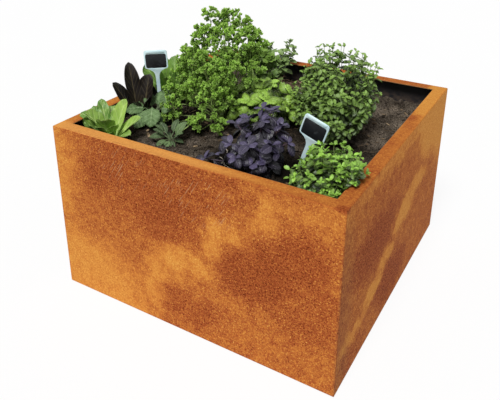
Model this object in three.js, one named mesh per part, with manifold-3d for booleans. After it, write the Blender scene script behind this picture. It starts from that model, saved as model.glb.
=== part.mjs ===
// Square weathering-steel planter, folded from 2 mm sheet, bolted at its corners and planted with herbs.
// Millimetres, +Z up. The origin is the middle of the planter's outline on the ground.
import * as THREE from 'three';
import { mergeVertices } from 'three/addons/utils/BufferGeometryUtils.js';
import Module from 'manifold-3d';

const wasm = await Module();
wasm.setup();

// Planter shell
const planterWidth = 800;
const planterDepth = 800;
const planterHeight = 480;
const sheetThickness = 2;
const bendRadius = 3;
const bendSteps = 3;
const rimWidth = 35;
const footWidth = 30;
const cornerFlangeLength = 36;
const flangeEndGap = 12;
const seatGap = 0.3;

// Corner fasteners, M6
const boltDiameter = 6;
const boltHoleDiameter = 6.6;
const boltHeadFlats = 10;
const boltHeadHeight = 4;
const nutHeight = 5;
const boltSpareLength = 2;
const boltSetback = 24;
const boltLevels = 3;
const boltEndDistance = 45;

// Base tray and its channels
const trayHeight = 38;
const traySideGap = 1;
const channelCount = 2;
const channelSpacing = 260;
const channelWidth = 50;
const channelFootLength = 16;
const channelEndGap = 3;
const drainHoleDiameter = 25;
const drainHoleSpacing = 400;

// Liner and soil
const linerThickness = 3;
const linerSideGap = 1;
const linerCornerGap = 3;
const linerRimGap = 2;
const linerDrainDiameter = 18;
const soilDrop = 65;
const soilRelief = 4;
const soilLumpHeight = 3;
const soilLumpSpan = 13;
const soilLumpDrift = { x: 41, y: 47 };
const soilCells = 24;
const soilTolerance = 0.05;

// Push-in plant label
const labelHeadWidth = 68;
const labelHeadHeight = 56;
const labelCornerRadius = 8;
const labelThickness = 3;
const labelBrowHeight = 8;
const labelBrowDepth = 1.5;
const labelNeckHeight = 24;
const labelNeckShare = 0.78;
const labelStakeWidth = 11;
const labelStakeDepth = 80;
const labelPointLength = 22;
const panelWidth = 60;
const panelHeight = 42;
const panelCornerRadius = 6;
const panelThickness = 1;
const panelRecess = 0.9;

// Finishes
const corten = { color: 0xb8662e, roughness: 0.85, metalness: 0.2 };
const galvanised = { color: 0x9a9da0, roughness: 0.45, metalness: 0.9 };
const blackPlastic = { color: 0x1c1c1e, roughness: 0.6, metalness: 0 };
const pottingSoil = { color: 0x2c221b, roughness: 1, metalness: 0 };
const mintPlastic = { color: 0xbfe3e0, roughness: 0.35, metalness: 0 };
const slateBlack = { color: 0x15161a, roughness: 0.5, metalness: 0 };
const paleLeaf = { color: 0x8cb444, roughness: 0.6, metalness: 0 };
const greenLeaf = { color: 0x4f8a2a, roughness: 0.6, metalness: 0 };
const greyLeaf = { color: 0x7d9a6a, roughness: 0.7, metalness: 0 };
const purpleLeaf = { color: 0x413a52, roughness: 0.55, metalness: 0 };
const redLeaf = { color: 0x3a2a2c, roughness: 0.55, metalness: 0 };

const X = new THREE.Vector3(1, 0, 0);
const Y = new THREE.Vector3(0, 1, 0);
const Z = new THREE.Vector3(0, 0, 1);
const origin = new THREE.Vector3();
const planter = new THREE.Group();

function solidFrom(geometry) {
  const bare = geometry.clone();
  bare.deleteAttribute('normal');
  bare.deleteAttribute('uv');
  const merged = mergeVertices(bare);
  const vertProperties = new Float32Array(merged.attributes.position.array);
  const triVerts = new Uint32Array(merged.index.array);
  return new wasm.Manifold(new wasm.Mesh({ numProp: 3, vertProperties, triVerts }));
}

function geometryFrom(solid) {
  const mesh = solid.getMesh();
  const geometry = new THREE.BufferGeometry();
  geometry.setAttribute('position', new THREE.BufferAttribute(new Float32Array(mesh.vertProperties), 3));
  geometry.setIndex(new THREE.BufferAttribute(new Uint32Array(mesh.triVerts), 1));
  geometry.computeVertexNormals();
  return geometry;
}

function joined(solids) {
  return solids.reduce((whole, solid) => whole.add(solid));
}

function cutBy(solid, cutters) {
  return cutters.reduce((rest, cutter) => rest.subtract(cutter), solid);
}

function addPiece(name, geometry, finish, parent = planter) {
  const mesh = new THREE.Mesh(geometry, new THREE.MeshStandardMaterial(finish));
  mesh.name = name;
  parent.add(mesh);
  return mesh;
}

// A prism of a plan outline between two levels.
function prism(outline, low, high) {
  const shape = outline instanceof THREE.Shape ? outline : new THREE.Shape(outline);
  const geometry = new THREE.ExtrudeGeometry(shape, { depth: high - low, bevelEnabled: false });
  return geometry.translate(0, 0, low);
}

function block(sizeX, sizeY, low, high) {
  return new THREE.BoxGeometry(sizeX, sizeY, high - low).translate(0, 0, (low + high) / 2);
}

// A round or many-sided bar between two points.
function bar(start, end, radiusStart, radiusEnd, sides) {
  const along = new THREE.Vector3().subVectors(end, start);
  const geometry = new THREE.CylinderGeometry(radiusEnd, radiusStart, along.length(), sides);
  geometry.translate(0, along.length() / 2, 0);
  const turn = new THREE.Quaternion().setFromUnitVectors(Y, along.clone().normalize());
  return geometry.applyQuaternion(turn).translate(start.x, start.y, start.z);
}

// The outline of a folded sheet: the corners of its left face, and its thickness to the right.
function foldedOutline(corners, thickness, radius, steps) {
  const left = [];
  const right = [];
  const direction = (a, b) => new THREE.Vector2().subVectors(b, a).normalize();
  const rightOf = (d) => new THREE.Vector2(d.y, -d.x);
  corners.forEach((corner, i) => {
    if (i === 0 || i === corners.length - 1) {
      const d = i === 0 ? direction(corner, corners[1]) : direction(corners[i - 1], corner);
      left.push(corner.clone());
      right.push(corner.clone().addScaledVector(rightOf(d), thickness));
      return;
    }
    const d1 = direction(corners[i - 1], corner);
    const d2 = direction(corner, corners[i + 1]);
    const turnsRight = d1.cross(d2) < 0;
    const leftRadius = turnsRight ? radius : radius - thickness;
    const rightRadius = turnsRight ? radius - thickness : radius;
    const centre = corner.clone().addScaledVector(d1, -leftRadius).addScaledVector(d2, leftRadius);
    for (let step = 0; step <= steps; step += 1) {
      const angle = (step / steps) * Math.PI / 2;
      const spoke = d2.clone().multiplyScalar(-Math.cos(angle)).addScaledVector(d1, Math.sin(angle));
      left.push(centre.clone().addScaledVector(spoke, leftRadius));
      right.push(centre.clone().addScaledVector(spoke, rightRadius));
    }
  });
  return new THREE.Shape([...left, ...right.reverse()]);
}

// A folded strip whose outline stands in the YZ plane, running along X about the origin.
function foldedStrip(corners, length) {
  const outline = foldedOutline(corners, sheetThickness, bendRadius, bendSteps);
  const geometry = new THREE.ExtrudeGeometry(outline, { depth: length, bevelEnabled: false });
  geometry.applyMatrix4(new THREE.Matrix4().makeBasis(Y, Z, X));
  return geometry.translate(-length / 2, 0, 0);
}

// Side panels

const flangeLow = sheetThickness + trayHeight + flangeEndGap;
const flangeHigh = planterHeight - sheetThickness - flangeEndGap;
const mitreShift = seatGap / Math.SQRT2;
const boltHeights = Array.from({ length: boltLevels }, (_, level) => {
  const low = flangeLow + boltEndDistance;
  const high = flangeHigh - boltEndDistance;
  return low + (high - low) * level / Math.max(1, boltLevels - 1);
});

function mitreEnds(geometry, length) {
  const position = geometry.attributes.position;
  for (let i = 0; i < position.count; i += 1) {
    const end = length / 2 - mitreShift - position.getY(i);
    position.setX(i, Math.sign(position.getX(i)) * end);
  }
  return geometry;
}

// One inward corner flange at the panel's end on the side given, with its bolt holes.
function cornerFlange(length, side) {
  const inward = new THREE.Vector2(-side, 1).normalize();
  const back = new THREE.Vector2(-side, -1).normalize();
  const tip = new THREE.Vector2(side * (length / 2 - mitreShift), 0);
  const near = tip.clone().addScaledVector(inward, sheetThickness * 1.2);
  const far = tip.clone().addScaledVector(inward, cornerFlangeLength);
  const outline = [
    near,
    far,
    far.clone().addScaledVector(back, sheetThickness),
    near.clone().addScaledVector(back, sheetThickness),
  ];
  const holes = boltHeights.map((height) => {
    const middle = tip.clone().addScaledVector(inward, boltSetback);
    const reach = sheetThickness * 2;
    const start = new THREE.Vector3(middle.x - back.x * reach, middle.y - back.y * reach, height);
    const end = new THREE.Vector3(middle.x + back.x * reach, middle.y + back.y * reach, height);
    return solidFrom(bar(start, end, boltHoleDiameter / 2, boltHoleDiameter / 2, 8));
  });
  return cutBy(solidFrom(prism(outline, flangeLow, flangeHigh)), holes);
}

// A panel faces -Y with its outer face on the X axis line: foot, web and rim in one fold.
function panelGeometry(length) {
  const corners = [
    new THREE.Vector2(footWidth, 0),
    new THREE.Vector2(0, 0),
    new THREE.Vector2(0, planterHeight),
    new THREE.Vector2(rimWidth, planterHeight),
  ];
  const strip = solidFrom(mitreEnds(foldedStrip(corners, length), length));
  return geometryFrom(joined([strip, cornerFlange(length, -1), cornerFlange(length, 1)]));
}

const sides = [
  { name: 'front_panel', length: planterWidth, offset: planterDepth / 2, turn: 0 },
  { name: 'right_panel', length: planterDepth, offset: planterWidth / 2, turn: Math.PI / 2 },
  { name: 'back_panel', length: planterWidth, offset: planterDepth / 2, turn: Math.PI },
  { name: 'left_panel', length: planterDepth, offset: planterWidth / 2, turn: -Math.PI / 2 },
];
for (const side of sides) {
  const panel = addPiece(side.name, panelGeometry(side.length), corten);
  panel.rotation.z = side.turn;
  panel.position.set(Math.sin(side.turn) * side.offset, -Math.cos(side.turn) * side.offset, 0);
}

// Corner bolts and nuts

const headStart = sheetThickness + seatGap * 1.5;
const boltLength = headStart * 2 + nutHeight + boltSpareLength;

const hexRadius = boltHeadFlats / Math.sqrt(3);

// A straight bar on the X axis, from one place on it to another.
function axisBar(from, to, radius, sides) {
  const start = X.clone().multiplyScalar(from);
  return solidFrom(bar(start, X.clone().multiplyScalar(to), radius, radius, sides));
}

function boltGeometry() {
  const head = axisBar(-boltHeadHeight, 0, hexRadius, 6);
  return geometryFrom(head.add(axisBar(-boltHeadHeight / 2, boltLength, boltDiameter / 2, 8)));
}

function nutGeometry() {
  const bore = axisBar(-1, nutHeight + 1, boltHoleDiameter / 2, 8);
  return geometryFrom(axisBar(0, nutHeight, hexRadius, 6).subtract(bore));
}

const cornerPlaces = [
  { name: 'front_right', x: 1, y: -1 },
  { name: 'back_right', x: 1, y: 1 },
  { name: 'back_left', x: -1, y: 1 },
  { name: 'front_left', x: -1, y: -1 },
];
for (const corner of cornerPlaces) {
  const inset = boltSetback / Math.SQRT2;
  boltHeights.forEach((height, level) => {
    const fastener = new THREE.Group();
    fastener.position.x = corner.x * (planterWidth / 2 - inset);
    fastener.position.y = corner.y * (planterDepth / 2 - inset);
    fastener.position.z = height;
    fastener.rotation.z = Math.atan2(corner.y, corner.x) + Math.PI / 2;
    planter.add(fastener);
    const bolt = addPiece(`${corner.name}_bolt_${level + 1}`, boltGeometry(), galvanised, fastener);
    bolt.position.x = -headStart;
    const nut = addPiece(`${corner.name}_nut_${level + 1}`, nutGeometry(), galvanised, fastener);
    nut.position.x = headStart;
  });
}

// Base tray on the panels' feet, and the channels that carry it to the ground

const trayLow = sheetThickness + seatGap;
const trayTop = sheetThickness + trayHeight;
const trayWidth = planterWidth - 2 * (sheetThickness + traySideGap);
const trayDepth = planterDepth - 2 * (sheetThickness + traySideGap);
const drainPlaces = [
  [0, 0],
  ...[-1, 1].flatMap((sx) => [-1, 1].map((sy) => [sx * drainHoleSpacing / 2, sy * drainHoleSpacing / 2])),
];

function drainCutters(diameter, low, high) {
  return drainPlaces.map(([x, y]) => {
    const start = new THREE.Vector3(x, y, low - 1);
    const end = new THREE.Vector3(x, y, high + 1);
    return solidFrom(bar(start, end, diameter / 2, diameter / 2, 12));
  });
}

function trayGeometry() {
  const outer = solidFrom(block(trayWidth, trayDepth, trayLow, trayTop));
  const insideWidth = trayWidth - 2 * sheetThickness;
  const insideDepth = trayDepth - 2 * sheetThickness;
  const inside = solidFrom(block(insideWidth, insideDepth, trayLow - 1, trayTop - sheetThickness));
  const holes = drainCutters(drainHoleDiameter, trayTop - sheetThickness, trayTop);
  return geometryFrom(cutBy(outer.subtract(inside), holes));
}
addPiece('base_tray', trayGeometry(), corten);

function channelGeometry() {
  const high = trayTop - sheetThickness - seatGap;
  const half = channelWidth / 2;
  const corners = [
    new THREE.Vector2(-half - channelFootLength, sheetThickness),
    new THREE.Vector2(-half, sheetThickness),
    new THREE.Vector2(-half, high),
    new THREE.Vector2(half, high),
    new THREE.Vector2(half, sheetThickness),
    new THREE.Vector2(half + channelFootLength, sheetThickness),
  ];
  return foldedStrip(corners, planterWidth - 2 * (footWidth + channelEndGap));
}
for (let i = 0; i < channelCount; i += 1) {
  const channel = addPiece(`base_channel_${i + 1}`, channelGeometry(), corten);
  channel.position.y = (i - (channelCount - 1) / 2) * channelSpacing;
}

// Liner tub and soil: rectangles with cut corners that clear the flanges

const linerInset = sheetThickness + linerSideGap;
const linerLow = trayTop + seatGap;
const linerHigh = planterHeight - sheetThickness - linerRimGap;
const linerFloor = linerLow + linerThickness;
const soilInset = linerInset + linerThickness + seatGap;
const soilLow = linerFloor + seatGap;
const soilLevel = planterHeight - soilDrop;

function clippedOutline(inset) {
  const halfX = planterWidth / 2 - inset;
  const halfY = planterDepth / 2 - inset;
  const cornerDistance = cornerFlangeLength + linerCornerGap + inset - linerInset;
  const clip = cornerDistance * Math.SQRT2 - 2 * inset;
  const points = [];
  for (const [sx, sy] of [[-1, -1], [1, -1], [1, 1], [-1, 1]]) {
    const alongX = new THREE.Vector2(sx * (halfX - clip), sy * halfY);
    const alongY = new THREE.Vector2(sx * halfX, sy * (halfY - clip));
    points.push(...(sx * sy > 0 ? [alongY, alongX] : [alongX, alongY]));
  }
  return points;
}

function linerGeometry() {
  const outer = solidFrom(prism(clippedOutline(linerInset), linerLow, linerHigh));
  const inside = solidFrom(prism(clippedOutline(linerInset + linerThickness), linerFloor, linerHigh + 1));
  const holes = drainCutters(linerDrainDiameter, linerLow, linerFloor);
  return geometryFrom(cutBy(outer.subtract(inside), holes));
}
addPiece('liner', linerGeometry(), blackPlastic);

// The bed is the soil's rectangle; shares of it from -1 to 1 place what grows in it.
const bedHalfX = planterWidth / 2 - soilInset;
const bedHalfY = planterDepth / 2 - soilInset;
const clodShare = { x: -0.21, y: 0.76 };
const clodHeight = 16;
const clodRadius = 60;

function soilHeight(x, y) {
  const roll = Math.sin(x / 95) * Math.cos(y / 80 + 0.6) + 0.6 * Math.sin(x / 53 + y / 61);
  const clodDistance = Math.hypot(x - clodShare.x * bedHalfX, y - clodShare.y * bedHalfY);
  return soilLevel + soilRelief * roll + clodHeight * Math.exp(-((clodDistance / clodRadius) ** 2));
}

// Raked lumps about 80 mm apart over the rolling bed; what grows in it stands at the rolling height.
function soilLumps(x, y) {
  const alongX = Math.sin(x / soilLumpSpan + Math.sin(y / soilLumpDrift.y));
  const alongY = Math.sin(y / soilLumpSpan + Math.sin(x / soilLumpDrift.x));
  return soilLumpHeight * alongX * alongY;
}

// Plants. Each leaf is a thin bent blade: a box drawn out along an arc, wide in the middle and cupped.

function radians(degrees) {
  return degrees * Math.PI / 180;
}

function blade(leaf) {
  const { length, width, droop, cup = 0, skew = 1, stalk = 0.14, thickness = 1.6, steps = 3 } = leaf;
  const geometry = new THREE.BoxGeometry(1, 1, thickness, steps, cup === 0 ? 1 : 2, 1);
  const position = geometry.attributes.position;
  const bend = radians(Math.abs(droop) < 1 ? 1 : droop);
  for (let i = 0; i < position.count; i += 1) {
    const share = position.getX(i) + 0.5;
    const side = position.getY(i) * 2;
    const half = width / 2 * Math.max(stalk, Math.sin(Math.PI * (0.96 * share) ** skew));
    const angle = bend * share;
    const lift = position.getZ(i) + cup * Math.abs(side) * half;
    const along = length * Math.sin(angle) / bend + lift * Math.sin(angle);
    const up = length * (Math.cos(angle) - 1) / bend + lift * Math.cos(angle);
    position.setXYZ(i, along, side * half, up);
  }
  return geometry;
}

// A leaf rolled about its stalk, raised, moved out from its point and turned to its heading.
function leafAt(point, heading, leaf) {
  const geometry = blade(leaf).rotateX(radians(leaf.roll ?? 0)).rotateY(-radians(leaf.rise));
  geometry.translate(leaf.offset ?? 0, 0, 0).rotateZ(radians(heading));
  return solidFrom(geometry.translate(point.x, point.y, point.z));
}

// A dense tuft of small leaves: a many-sided ball with a bumpy surface, wider or taller as given.
function tuft([x, y, z, radius, height], index) {
  const geometry = new THREE.DodecahedronGeometry(1);
  const position = geometry.attributes.position;
  const phase = index * 1.7;
  for (let i = 0; i < position.count; i += 1) {
    const bump = new THREE.Vector3().fromBufferAttribute(position, i);
    const swell = 1 + 0.13 * Math.sin(5 * bump.x + phase) * Math.cos(4 * bump.y + 2 * bump.z - phase);
    position.setXYZ(i, bump.x * radius * swell, bump.y * radius * swell, bump.z * height * swell);
  }
  return solidFrom(geometry.translate(x, y, z));
}

function stem(start, end, radius) {
  return solidFrom(bar(start, end, radius, radius * 0.7, 5));
}

const crownRise = 5;
const rootTaper = 0.7;
const rootSides = 8;

function rootPlug(radius, depth) {
  const low = Z.clone().multiplyScalar(-depth);
  return solidFrom(bar(low, Z.clone().multiplyScalar(crownRise), radius * rootTaper, radius, rootSides));
}

const centre = new THREE.Vector3(0, 0, crownRise - 1);

// Leaves that all spring from the crown, one entry for each.
function rosette(leaves, shared) {
  return leaves.map(([heading, rise, length, width, droop, roll = 0]) => (
    leafAt(centre, heading, { rise, length, width, droop, roll, ...shared })
  ));
}

// A leafy stem: pairs of leaves up a straight stem, each pair turned a quarter from the one below.
function leafyStem(heading, lean, height, pairs, leaf) {
  const reach = height * Math.tan(radians(lean));
  const top = new THREE.Vector3(
    Math.cos(radians(heading)) * reach,
    Math.sin(radians(heading)) * reach,
    height,
  );
  const pieces = [stem(origin, top, 2.6)];
  for (let pair = 0; pair < pairs; pair += 1) {
    const share = 1 - pair * leaf.spacing;
    const point = top.clone().multiplyScalar(share);
    for (const half of [0, 180]) {
      const turn = heading + half + pair * 90 + 40;
      const size = leaf.length * (0.75 + 0.25 * Math.min(1, pair));
      pieces.push(leafAt(point, turn, { ...leaf, length: size, width: size * leaf.breadth }));
    }
  }
  return pieces;
}

// Tufts that run into one another, with a stem from the crown to each of the first few.
function bush(tufts, stemCount) {
  const stems = tufts.slice(0, stemCount).map(([x, y, z]) => stem(origin, new THREE.Vector3(x, y, z), 3));
  return [...tufts.map(tuft), ...stems];
}

const broadLeaf = { breadth: 0.72, rise: 22, droop: 46, steps: 2 };
const basilLeaf = { breadth: 0.62, rise: 16, droop: 40, steps: 2 };
const shootLeaf = { breadth: 0.6, rise: 40, droop: 20, steps: 2 };

const plants = [
  {
    name: 'butterhead_lettuce', at: [-0.75, -0.69], root: 26, depth: 60, finish: paleLeaf,
    solids: () => rosette([
      [212, 50, 88, 52, 8, 30], [168, 70, 98, 38, 6, 20], [70, 70, 96, 44, 4, 0],
      [30, 48, 84, 52, 12, -20], [300, 52, 74, 50, 18, 0], [255, 52, 70, 50, 18, 0],
      [122, 62, 84, 46, 8, 0], [345, 62, 84, 44, 8, -10], [190, 76, 86, 44, 10, 0], [50, 78, 82, 46, 10, 0],
    ], { skew: 1.5, cup: 0.3, stalk: 0.24, offset: 15 }),
  },
  {
    name: 'red_romaine', at: [-0.853, -0.28], root: 18, depth: 60, finish: redLeaf,
    solids: () => rosette([
      [245, 64, 122, 34, 6, 80], [225, 80, 160, 42, 6, 60], [30, 80, 134, 48, 6, -70],
      [300, 70, 84, 34, 12, 0], [95, 72, 104, 38, 8, 0],
    ], { skew: 1.7, cup: 0.2, stalk: 0.26, offset: 9 }),
  },
  {
    name: 'green_romaine', at: [-0.84, 0.1], root: 18, depth: 60, finish: greenLeaf,
    solids: () => rosette([
      [210, 80, 146, 46, 6, 70], [30, 78, 150, 52, 6, -75], [0, 60, 104, 44, 16, -40],
      [120, 76, 136, 46, 8, 0], [285, 70, 86, 40, 6, 0],
    ], { skew: 1.6, cup: 0.2, stalk: 0.26, offset: 9 }),
  },
  {
    name: 'lemon_balm', at: [-0.72, -0.35], root: 16, depth: 50, finish: greyLeaf,
    solids: () => rosette([
      [215, 40, 58, 42, 22], [265, 42, 64, 46, 26], [310, 38, 56, 40, 24], [5, 46, 52, 38, 22],
      [240, 68, 70, 40, 18], [320, 70, 68, 38, 14],
    ], { skew: 1.1, offset: 8 }),
  },
  {
    name: 'herb_seedling', at: [-0.42, -0.56], root: 13, depth: 45, finish: greyLeaf,
    solids: () => rosette([
      [0, 36, 46, 26, 22], [72, 42, 48, 28, 20], [140, 38, 44, 26, 22], [205, 40, 48, 28, 22],
      [275, 38, 46, 26, 24], [100, 72, 60, 26, 8], [320, 70, 56, 26, 8],
    ], { skew: 1.1, offset: 6 }),
  },
  {
    name: 'curly_parsley', at: [-0.31, -0.06], root: 28, depth: 80, finish: greenLeaf,
    solids: () => bush([
      [-54, 20, 303, 31, 31], [36, 34, 292, 32, 30], [-100, -14, 122, 42, 46], [0, -86, 92, 46, 42],
      [96, 0, 160, 36, 44], [10, 76, 160, 42, 50], [0, -118, 44, 38, 22], [-56, 46, 110, 38, 44],
      [-62, -8, 244, 42, 40], [8, -6, 240, 48, 50], [70, 24, 238, 42, 44], [-90, -24, 182, 42, 44],
      [-30, -40, 176, 50, 50], [40, -38, 178, 50, 50], [-56, -66, 104, 42, 42], [56, -66, 104, 42, 42],
      [84, 44, 214, 36, 40], [-112, 24, 76, 30, 32], [-122, 22, 150, 34, 38],
      [-6, 46, 290, 30, 30], [-120, -42, 62, 32, 40],
    ], 8),
  },
  {
    name: 'flat_parsley', at: [-0.24, 0.46], root: 18, depth: 60, finish: greenLeaf,
    solids: () => bush([
      [-34, -8, 122, 32, 28], [40, -14, 114, 30, 28], [8, 10, 134, 34, 30], [6, -34, 88, 30, 28],
    ], 3),
  },
  {
    name: 'back_herb', at: [-0.34, 0.84], root: 14, depth: 50, finish: greenLeaf,
    solids: () => [
      ...leafyStem(180, 16, 118, 3, { ...shootLeaf, length: 30, spacing: 0.24 }),
      ...leafyStem(20, 12, 138, 3, { ...shootLeaf, length: 32, spacing: 0.22 }),
    ],
  },
  {
    name: 'sweet_basil', at: [0.01, 0.06], root: 16, depth: 55, finish: paleLeaf,
    solids: () => [
      ...leafyStem(200, 30, 84, 2, { ...broadLeaf, length: 42, spacing: 0.36 }),
      ...leafyStem(330, 30, 80, 2, { ...broadLeaf, length: 44, spacing: 0.36 }),
      ...leafyStem(80, 22, 96, 2, { ...broadLeaf, length: 44, spacing: 0.34 }),
      ...leafyStem(20, 34, 66, 2, { ...broadLeaf, length: 42, spacing: 0.36 }),
      ...leafyStem(140, 30, 84, 2, { ...broadLeaf, length: 42, spacing: 0.36 }),
      ...leafyStem(262, 26, 72, 2, { ...broadLeaf, length: 42, spacing: 0.36 }),
    ],
  },
  {
    name: 'purple_basil', at: [0.21, -0.6], root: 20, depth: 60, finish: purpleLeaf,
    solids: () => [
      ...leafyStem(196, 32, 124, 3, { ...basilLeaf, length: 50, spacing: 0.27 }),
      ...leafyStem(110, 22, 142, 3, { ...basilLeaf, length: 48, spacing: 0.27 }),
      ...leafyStem(275, 24, 92, 2, { ...basilLeaf, length: 50, spacing: 0.32 }),
      ...leafyStem(20, 30, 124, 3, { ...basilLeaf, length: 48, spacing: 0.27 }),
      ...leafyStem(236, 34, 90, 3, { ...basilLeaf, length: 48, spacing: 0.27 }),
      ...leafyStem(326, 30, 96, 3, { ...basilLeaf, length: 48, spacing: 0.27 }),
      ...leafyStem(150, 34, 104, 3, { ...basilLeaf, length: 48, spacing: 0.27 }),
      ...leafyStem(64, 14, 148, 3, { ...basilLeaf, length: 46, spacing: 0.24 }),
    ],
  },
  {
    name: 'oregano', at: [0.46, 0.1], root: 28, depth: 80, finish: greenLeaf,
    solids: () => bush([
      [-14, 34, 212, 36, 46], [44, 26, 206, 36, 46], [-84, -8, 84, 36, 44], [98, -18, 84, 34, 44],
      [10, -70, 92, 46, 48], [92, 52, 104, 34, 48], [-66, 20, 170, 36, 44], [84, 14, 168, 34, 44],
      [8, -20, 168, 48, 54], [-50, -34, 122, 44, 50], [62, -36, 124, 44, 50], [-48, -74, 52, 36, 34],
      [64, -74, 52, 36, 34], [30, 66, 128, 46, 60], [-42, 64, 112, 42, 54],
    ], 6),
  },
  {
    name: 'marjoram', at: [0.78, -0.7], root: 20, depth: 60, finish: paleLeaf,
    solids: () => bush([
      [-40, 20, 88, 32, 34], [8, 34, 92, 32, 34], [-58, -24, 62, 28, 30], [-26, -54, 52, 30, 30],
      [24, -54, 58, 26, 28], [-10, -14, 86, 38, 36], [36, 6, 92, 26, 30], [28, -28, 84, 26, 30],
      [70, -16, 104, 24, 24],
    ], 5),
  },
];

for (const plant of plants) {
  plant.x = plant.at[0] * bedHalfX;
  plant.y = plant.at[1] * bedHalfY;
  plant.z = soilHeight(plant.x, plant.y);
  const solid = joined([rootPlug(plant.root, plant.depth), ...plant.solids()]);
  const piece = addPiece(plant.name, geometryFrom(solid), plant.finish);
  piece.position.set(plant.x, plant.y, plant.z);
}

// Plant labels: a head with a writing panel, a flared neck and a pointed stake pushed into the soil

const labels = [
  { name: 'left_label', at: [-0.85, -0.11], lean: 3, face: 30, headHeight: 154 },
  { name: 'right_label', at: [0.475, -0.42], lean: -18, face: -4, headHeight: 112 },
];

// The label stands in the XZ plane with its panel towards -Y and its ground line at the origin.
function labelOutline(headHeight, grow) {
  const headHalf = labelHeadWidth / 2 + grow;
  const headLow = headHeight - labelHeadHeight / 2 - grow;
  const headHigh = headHeight + labelHeadHeight / 2 + grow;
  const neckHalf = labelHeadWidth / 2 * labelNeckShare + grow;
  const stakeHalf = labelStakeWidth / 2 + grow;
  const neckLow = headLow - labelNeckHeight;
  const radius = labelCornerRadius;
  const shape = new THREE.Shape();
  shape.moveTo(grow / 2, -labelStakeDepth - grow);
  shape.lineTo(stakeHalf, -labelStakeDepth + labelPointLength);
  shape.lineTo(stakeHalf, neckLow);
  shape.quadraticCurveTo(stakeHalf, headLow - labelNeckHeight * 0.3, neckHalf, headLow);
  shape.quadraticCurveTo(headHalf, headLow, headHalf, headLow + radius);
  shape.lineTo(headHalf, headHigh - radius);
  shape.quadraticCurveTo(headHalf, headHigh, headHalf - radius, headHigh);
  shape.lineTo(-headHalf + radius, headHigh);
  shape.quadraticCurveTo(-headHalf, headHigh, -headHalf, headHigh - radius);
  shape.lineTo(-headHalf, headLow + radius);
  shape.quadraticCurveTo(-headHalf, headLow, -neckHalf, headLow);
  shape.quadraticCurveTo(-stakeHalf, headLow - labelNeckHeight * 0.3, -stakeHalf, neckLow);
  shape.lineTo(-stakeHalf, -labelStakeDepth + labelPointLength);
  shape.lineTo(-grow / 2, -labelStakeDepth - grow);
  return shape;
}

function roundedRectangle(width, height, radius, middle) {
  const right = width / 2;
  const top = middle + height / 2;
  const low = middle - height / 2;
  const shape = new THREE.Shape();
  shape.moveTo(-right + radius, low);
  shape.lineTo(right - radius, low);
  shape.quadraticCurveTo(right, low, right, low + radius);
  shape.lineTo(right, top - radius);
  shape.quadraticCurveTo(right, top, right - radius, top);
  shape.lineTo(-right + radius, top);
  shape.quadraticCurveTo(-right, top, -right, top - radius);
  shape.lineTo(-right, low + radius);
  shape.quadraticCurveTo(-right, low, -right + radius, low);
  return shape;
}

// A flat shape drawn in X and height, made solid between two depths along Y.
function upright(shape, front, back) {
  const options = { depth: back - front, bevelEnabled: false, curveSegments: 4 };
  const geometry = new THREE.ExtrudeGeometry(shape, options);
  return geometry.rotateX(Math.PI / 2).translate(0, back, 0);
}

const panelLift = -labelBrowHeight / 2;

function labelGeometry(headHeight) {
  const front = -labelThickness / 2;
  const body = solidFrom(upright(labelOutline(headHeight, 0), front, labelThickness / 2));
  const recessShape = roundedRectangle(
    panelWidth + 2 * seatGap,
    panelHeight + 2 * seatGap,
    panelCornerRadius + seatGap,
    headHeight + panelLift,
  );
  const recess = solidFrom(upright(recessShape, front - 1, front + panelRecess));
  const browMiddle = headHeight + labelHeadHeight / 2 - labelBrowHeight / 2;
  const browWidth = labelHeadWidth - 2 * labelCornerRadius;
  const brow = new THREE.BoxGeometry(browWidth, labelBrowDepth + labelThickness / 2, labelBrowHeight - 2);
  brow.translate(0, front - labelBrowDepth + (labelBrowDepth + labelThickness / 2) / 2, browMiddle);
  return geometryFrom(body.subtract(recess).add(solidFrom(brow)));
}

function writingPanelGeometry(headHeight) {
  const shape = roundedRectangle(panelWidth, panelHeight, panelCornerRadius, headHeight + panelLift);
  const back = -labelThickness / 2 + panelRecess - seatGap;
  return upright(shape, back - panelThickness, back);
}

for (const label of labels) {
  label.frame = new THREE.Group();
  const x = label.at[0] * bedHalfX;
  const y = label.at[1] * bedHalfY;
  label.frame.position.set(x, y, soilHeight(x, y));
  label.frame.rotation.set(0, radians(-label.lean), radians(label.face), 'ZYX');
  planter.add(label.frame);
  addPiece(label.name, labelGeometry(label.headHeight), mintPlastic, label.frame);
  addPiece(`${label.name}_panel`, writingPanelGeometry(label.headHeight), slateBlack, label.frame);
}

// Soil block with a planting hole for each root and a slot for each stake

function soilGeometry() {
  const slab = new THREE.BoxGeometry(2 * bedHalfX, 2 * bedHalfY, 1, soilCells, soilCells, 1);
  const position = slab.attributes.position;
  for (let i = 0; i < position.count; i += 1) {
    const x = position.getX(i);
    const y = position.getY(i);
    position.setZ(i, position.getZ(i) > 0 ? soilHeight(x, y) + soilLumps(x, y) : soilLow);
  }
  const outline = solidFrom(prism(clippedOutline(soilInset), soilLow - 1, planterHeight));
  const holes = plants.map((plant) => {
    const radius = plant.root + seatGap;
    const low = new THREE.Vector3(plant.x, plant.y, plant.z - plant.depth - seatGap);
    const lowRadius = plant.root * rootTaper + seatGap;
    const ground = new THREE.Vector3(plant.x, plant.y, plant.z + crownRise);
    return solidFrom(bar(low, ground, lowRadius, radius, rootSides));
  });
  const slots = labels.map((label) => {
    label.frame.updateMatrixWorld(true);
    const half = labelThickness / 2 + seatGap;
    const slot = upright(labelOutline(label.headHeight, seatGap), -half, half);
    return solidFrom(slot.applyMatrix4(label.frame.matrixWorld));
  });
  const bed = cutBy(solidFrom(slab).intersect(outline), [...holes, ...slots]);
  return geometryFrom(bed.simplify(soilTolerance));
}
addPiece('soil', soilGeometry(), pottingSoil);

export default planter;
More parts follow.
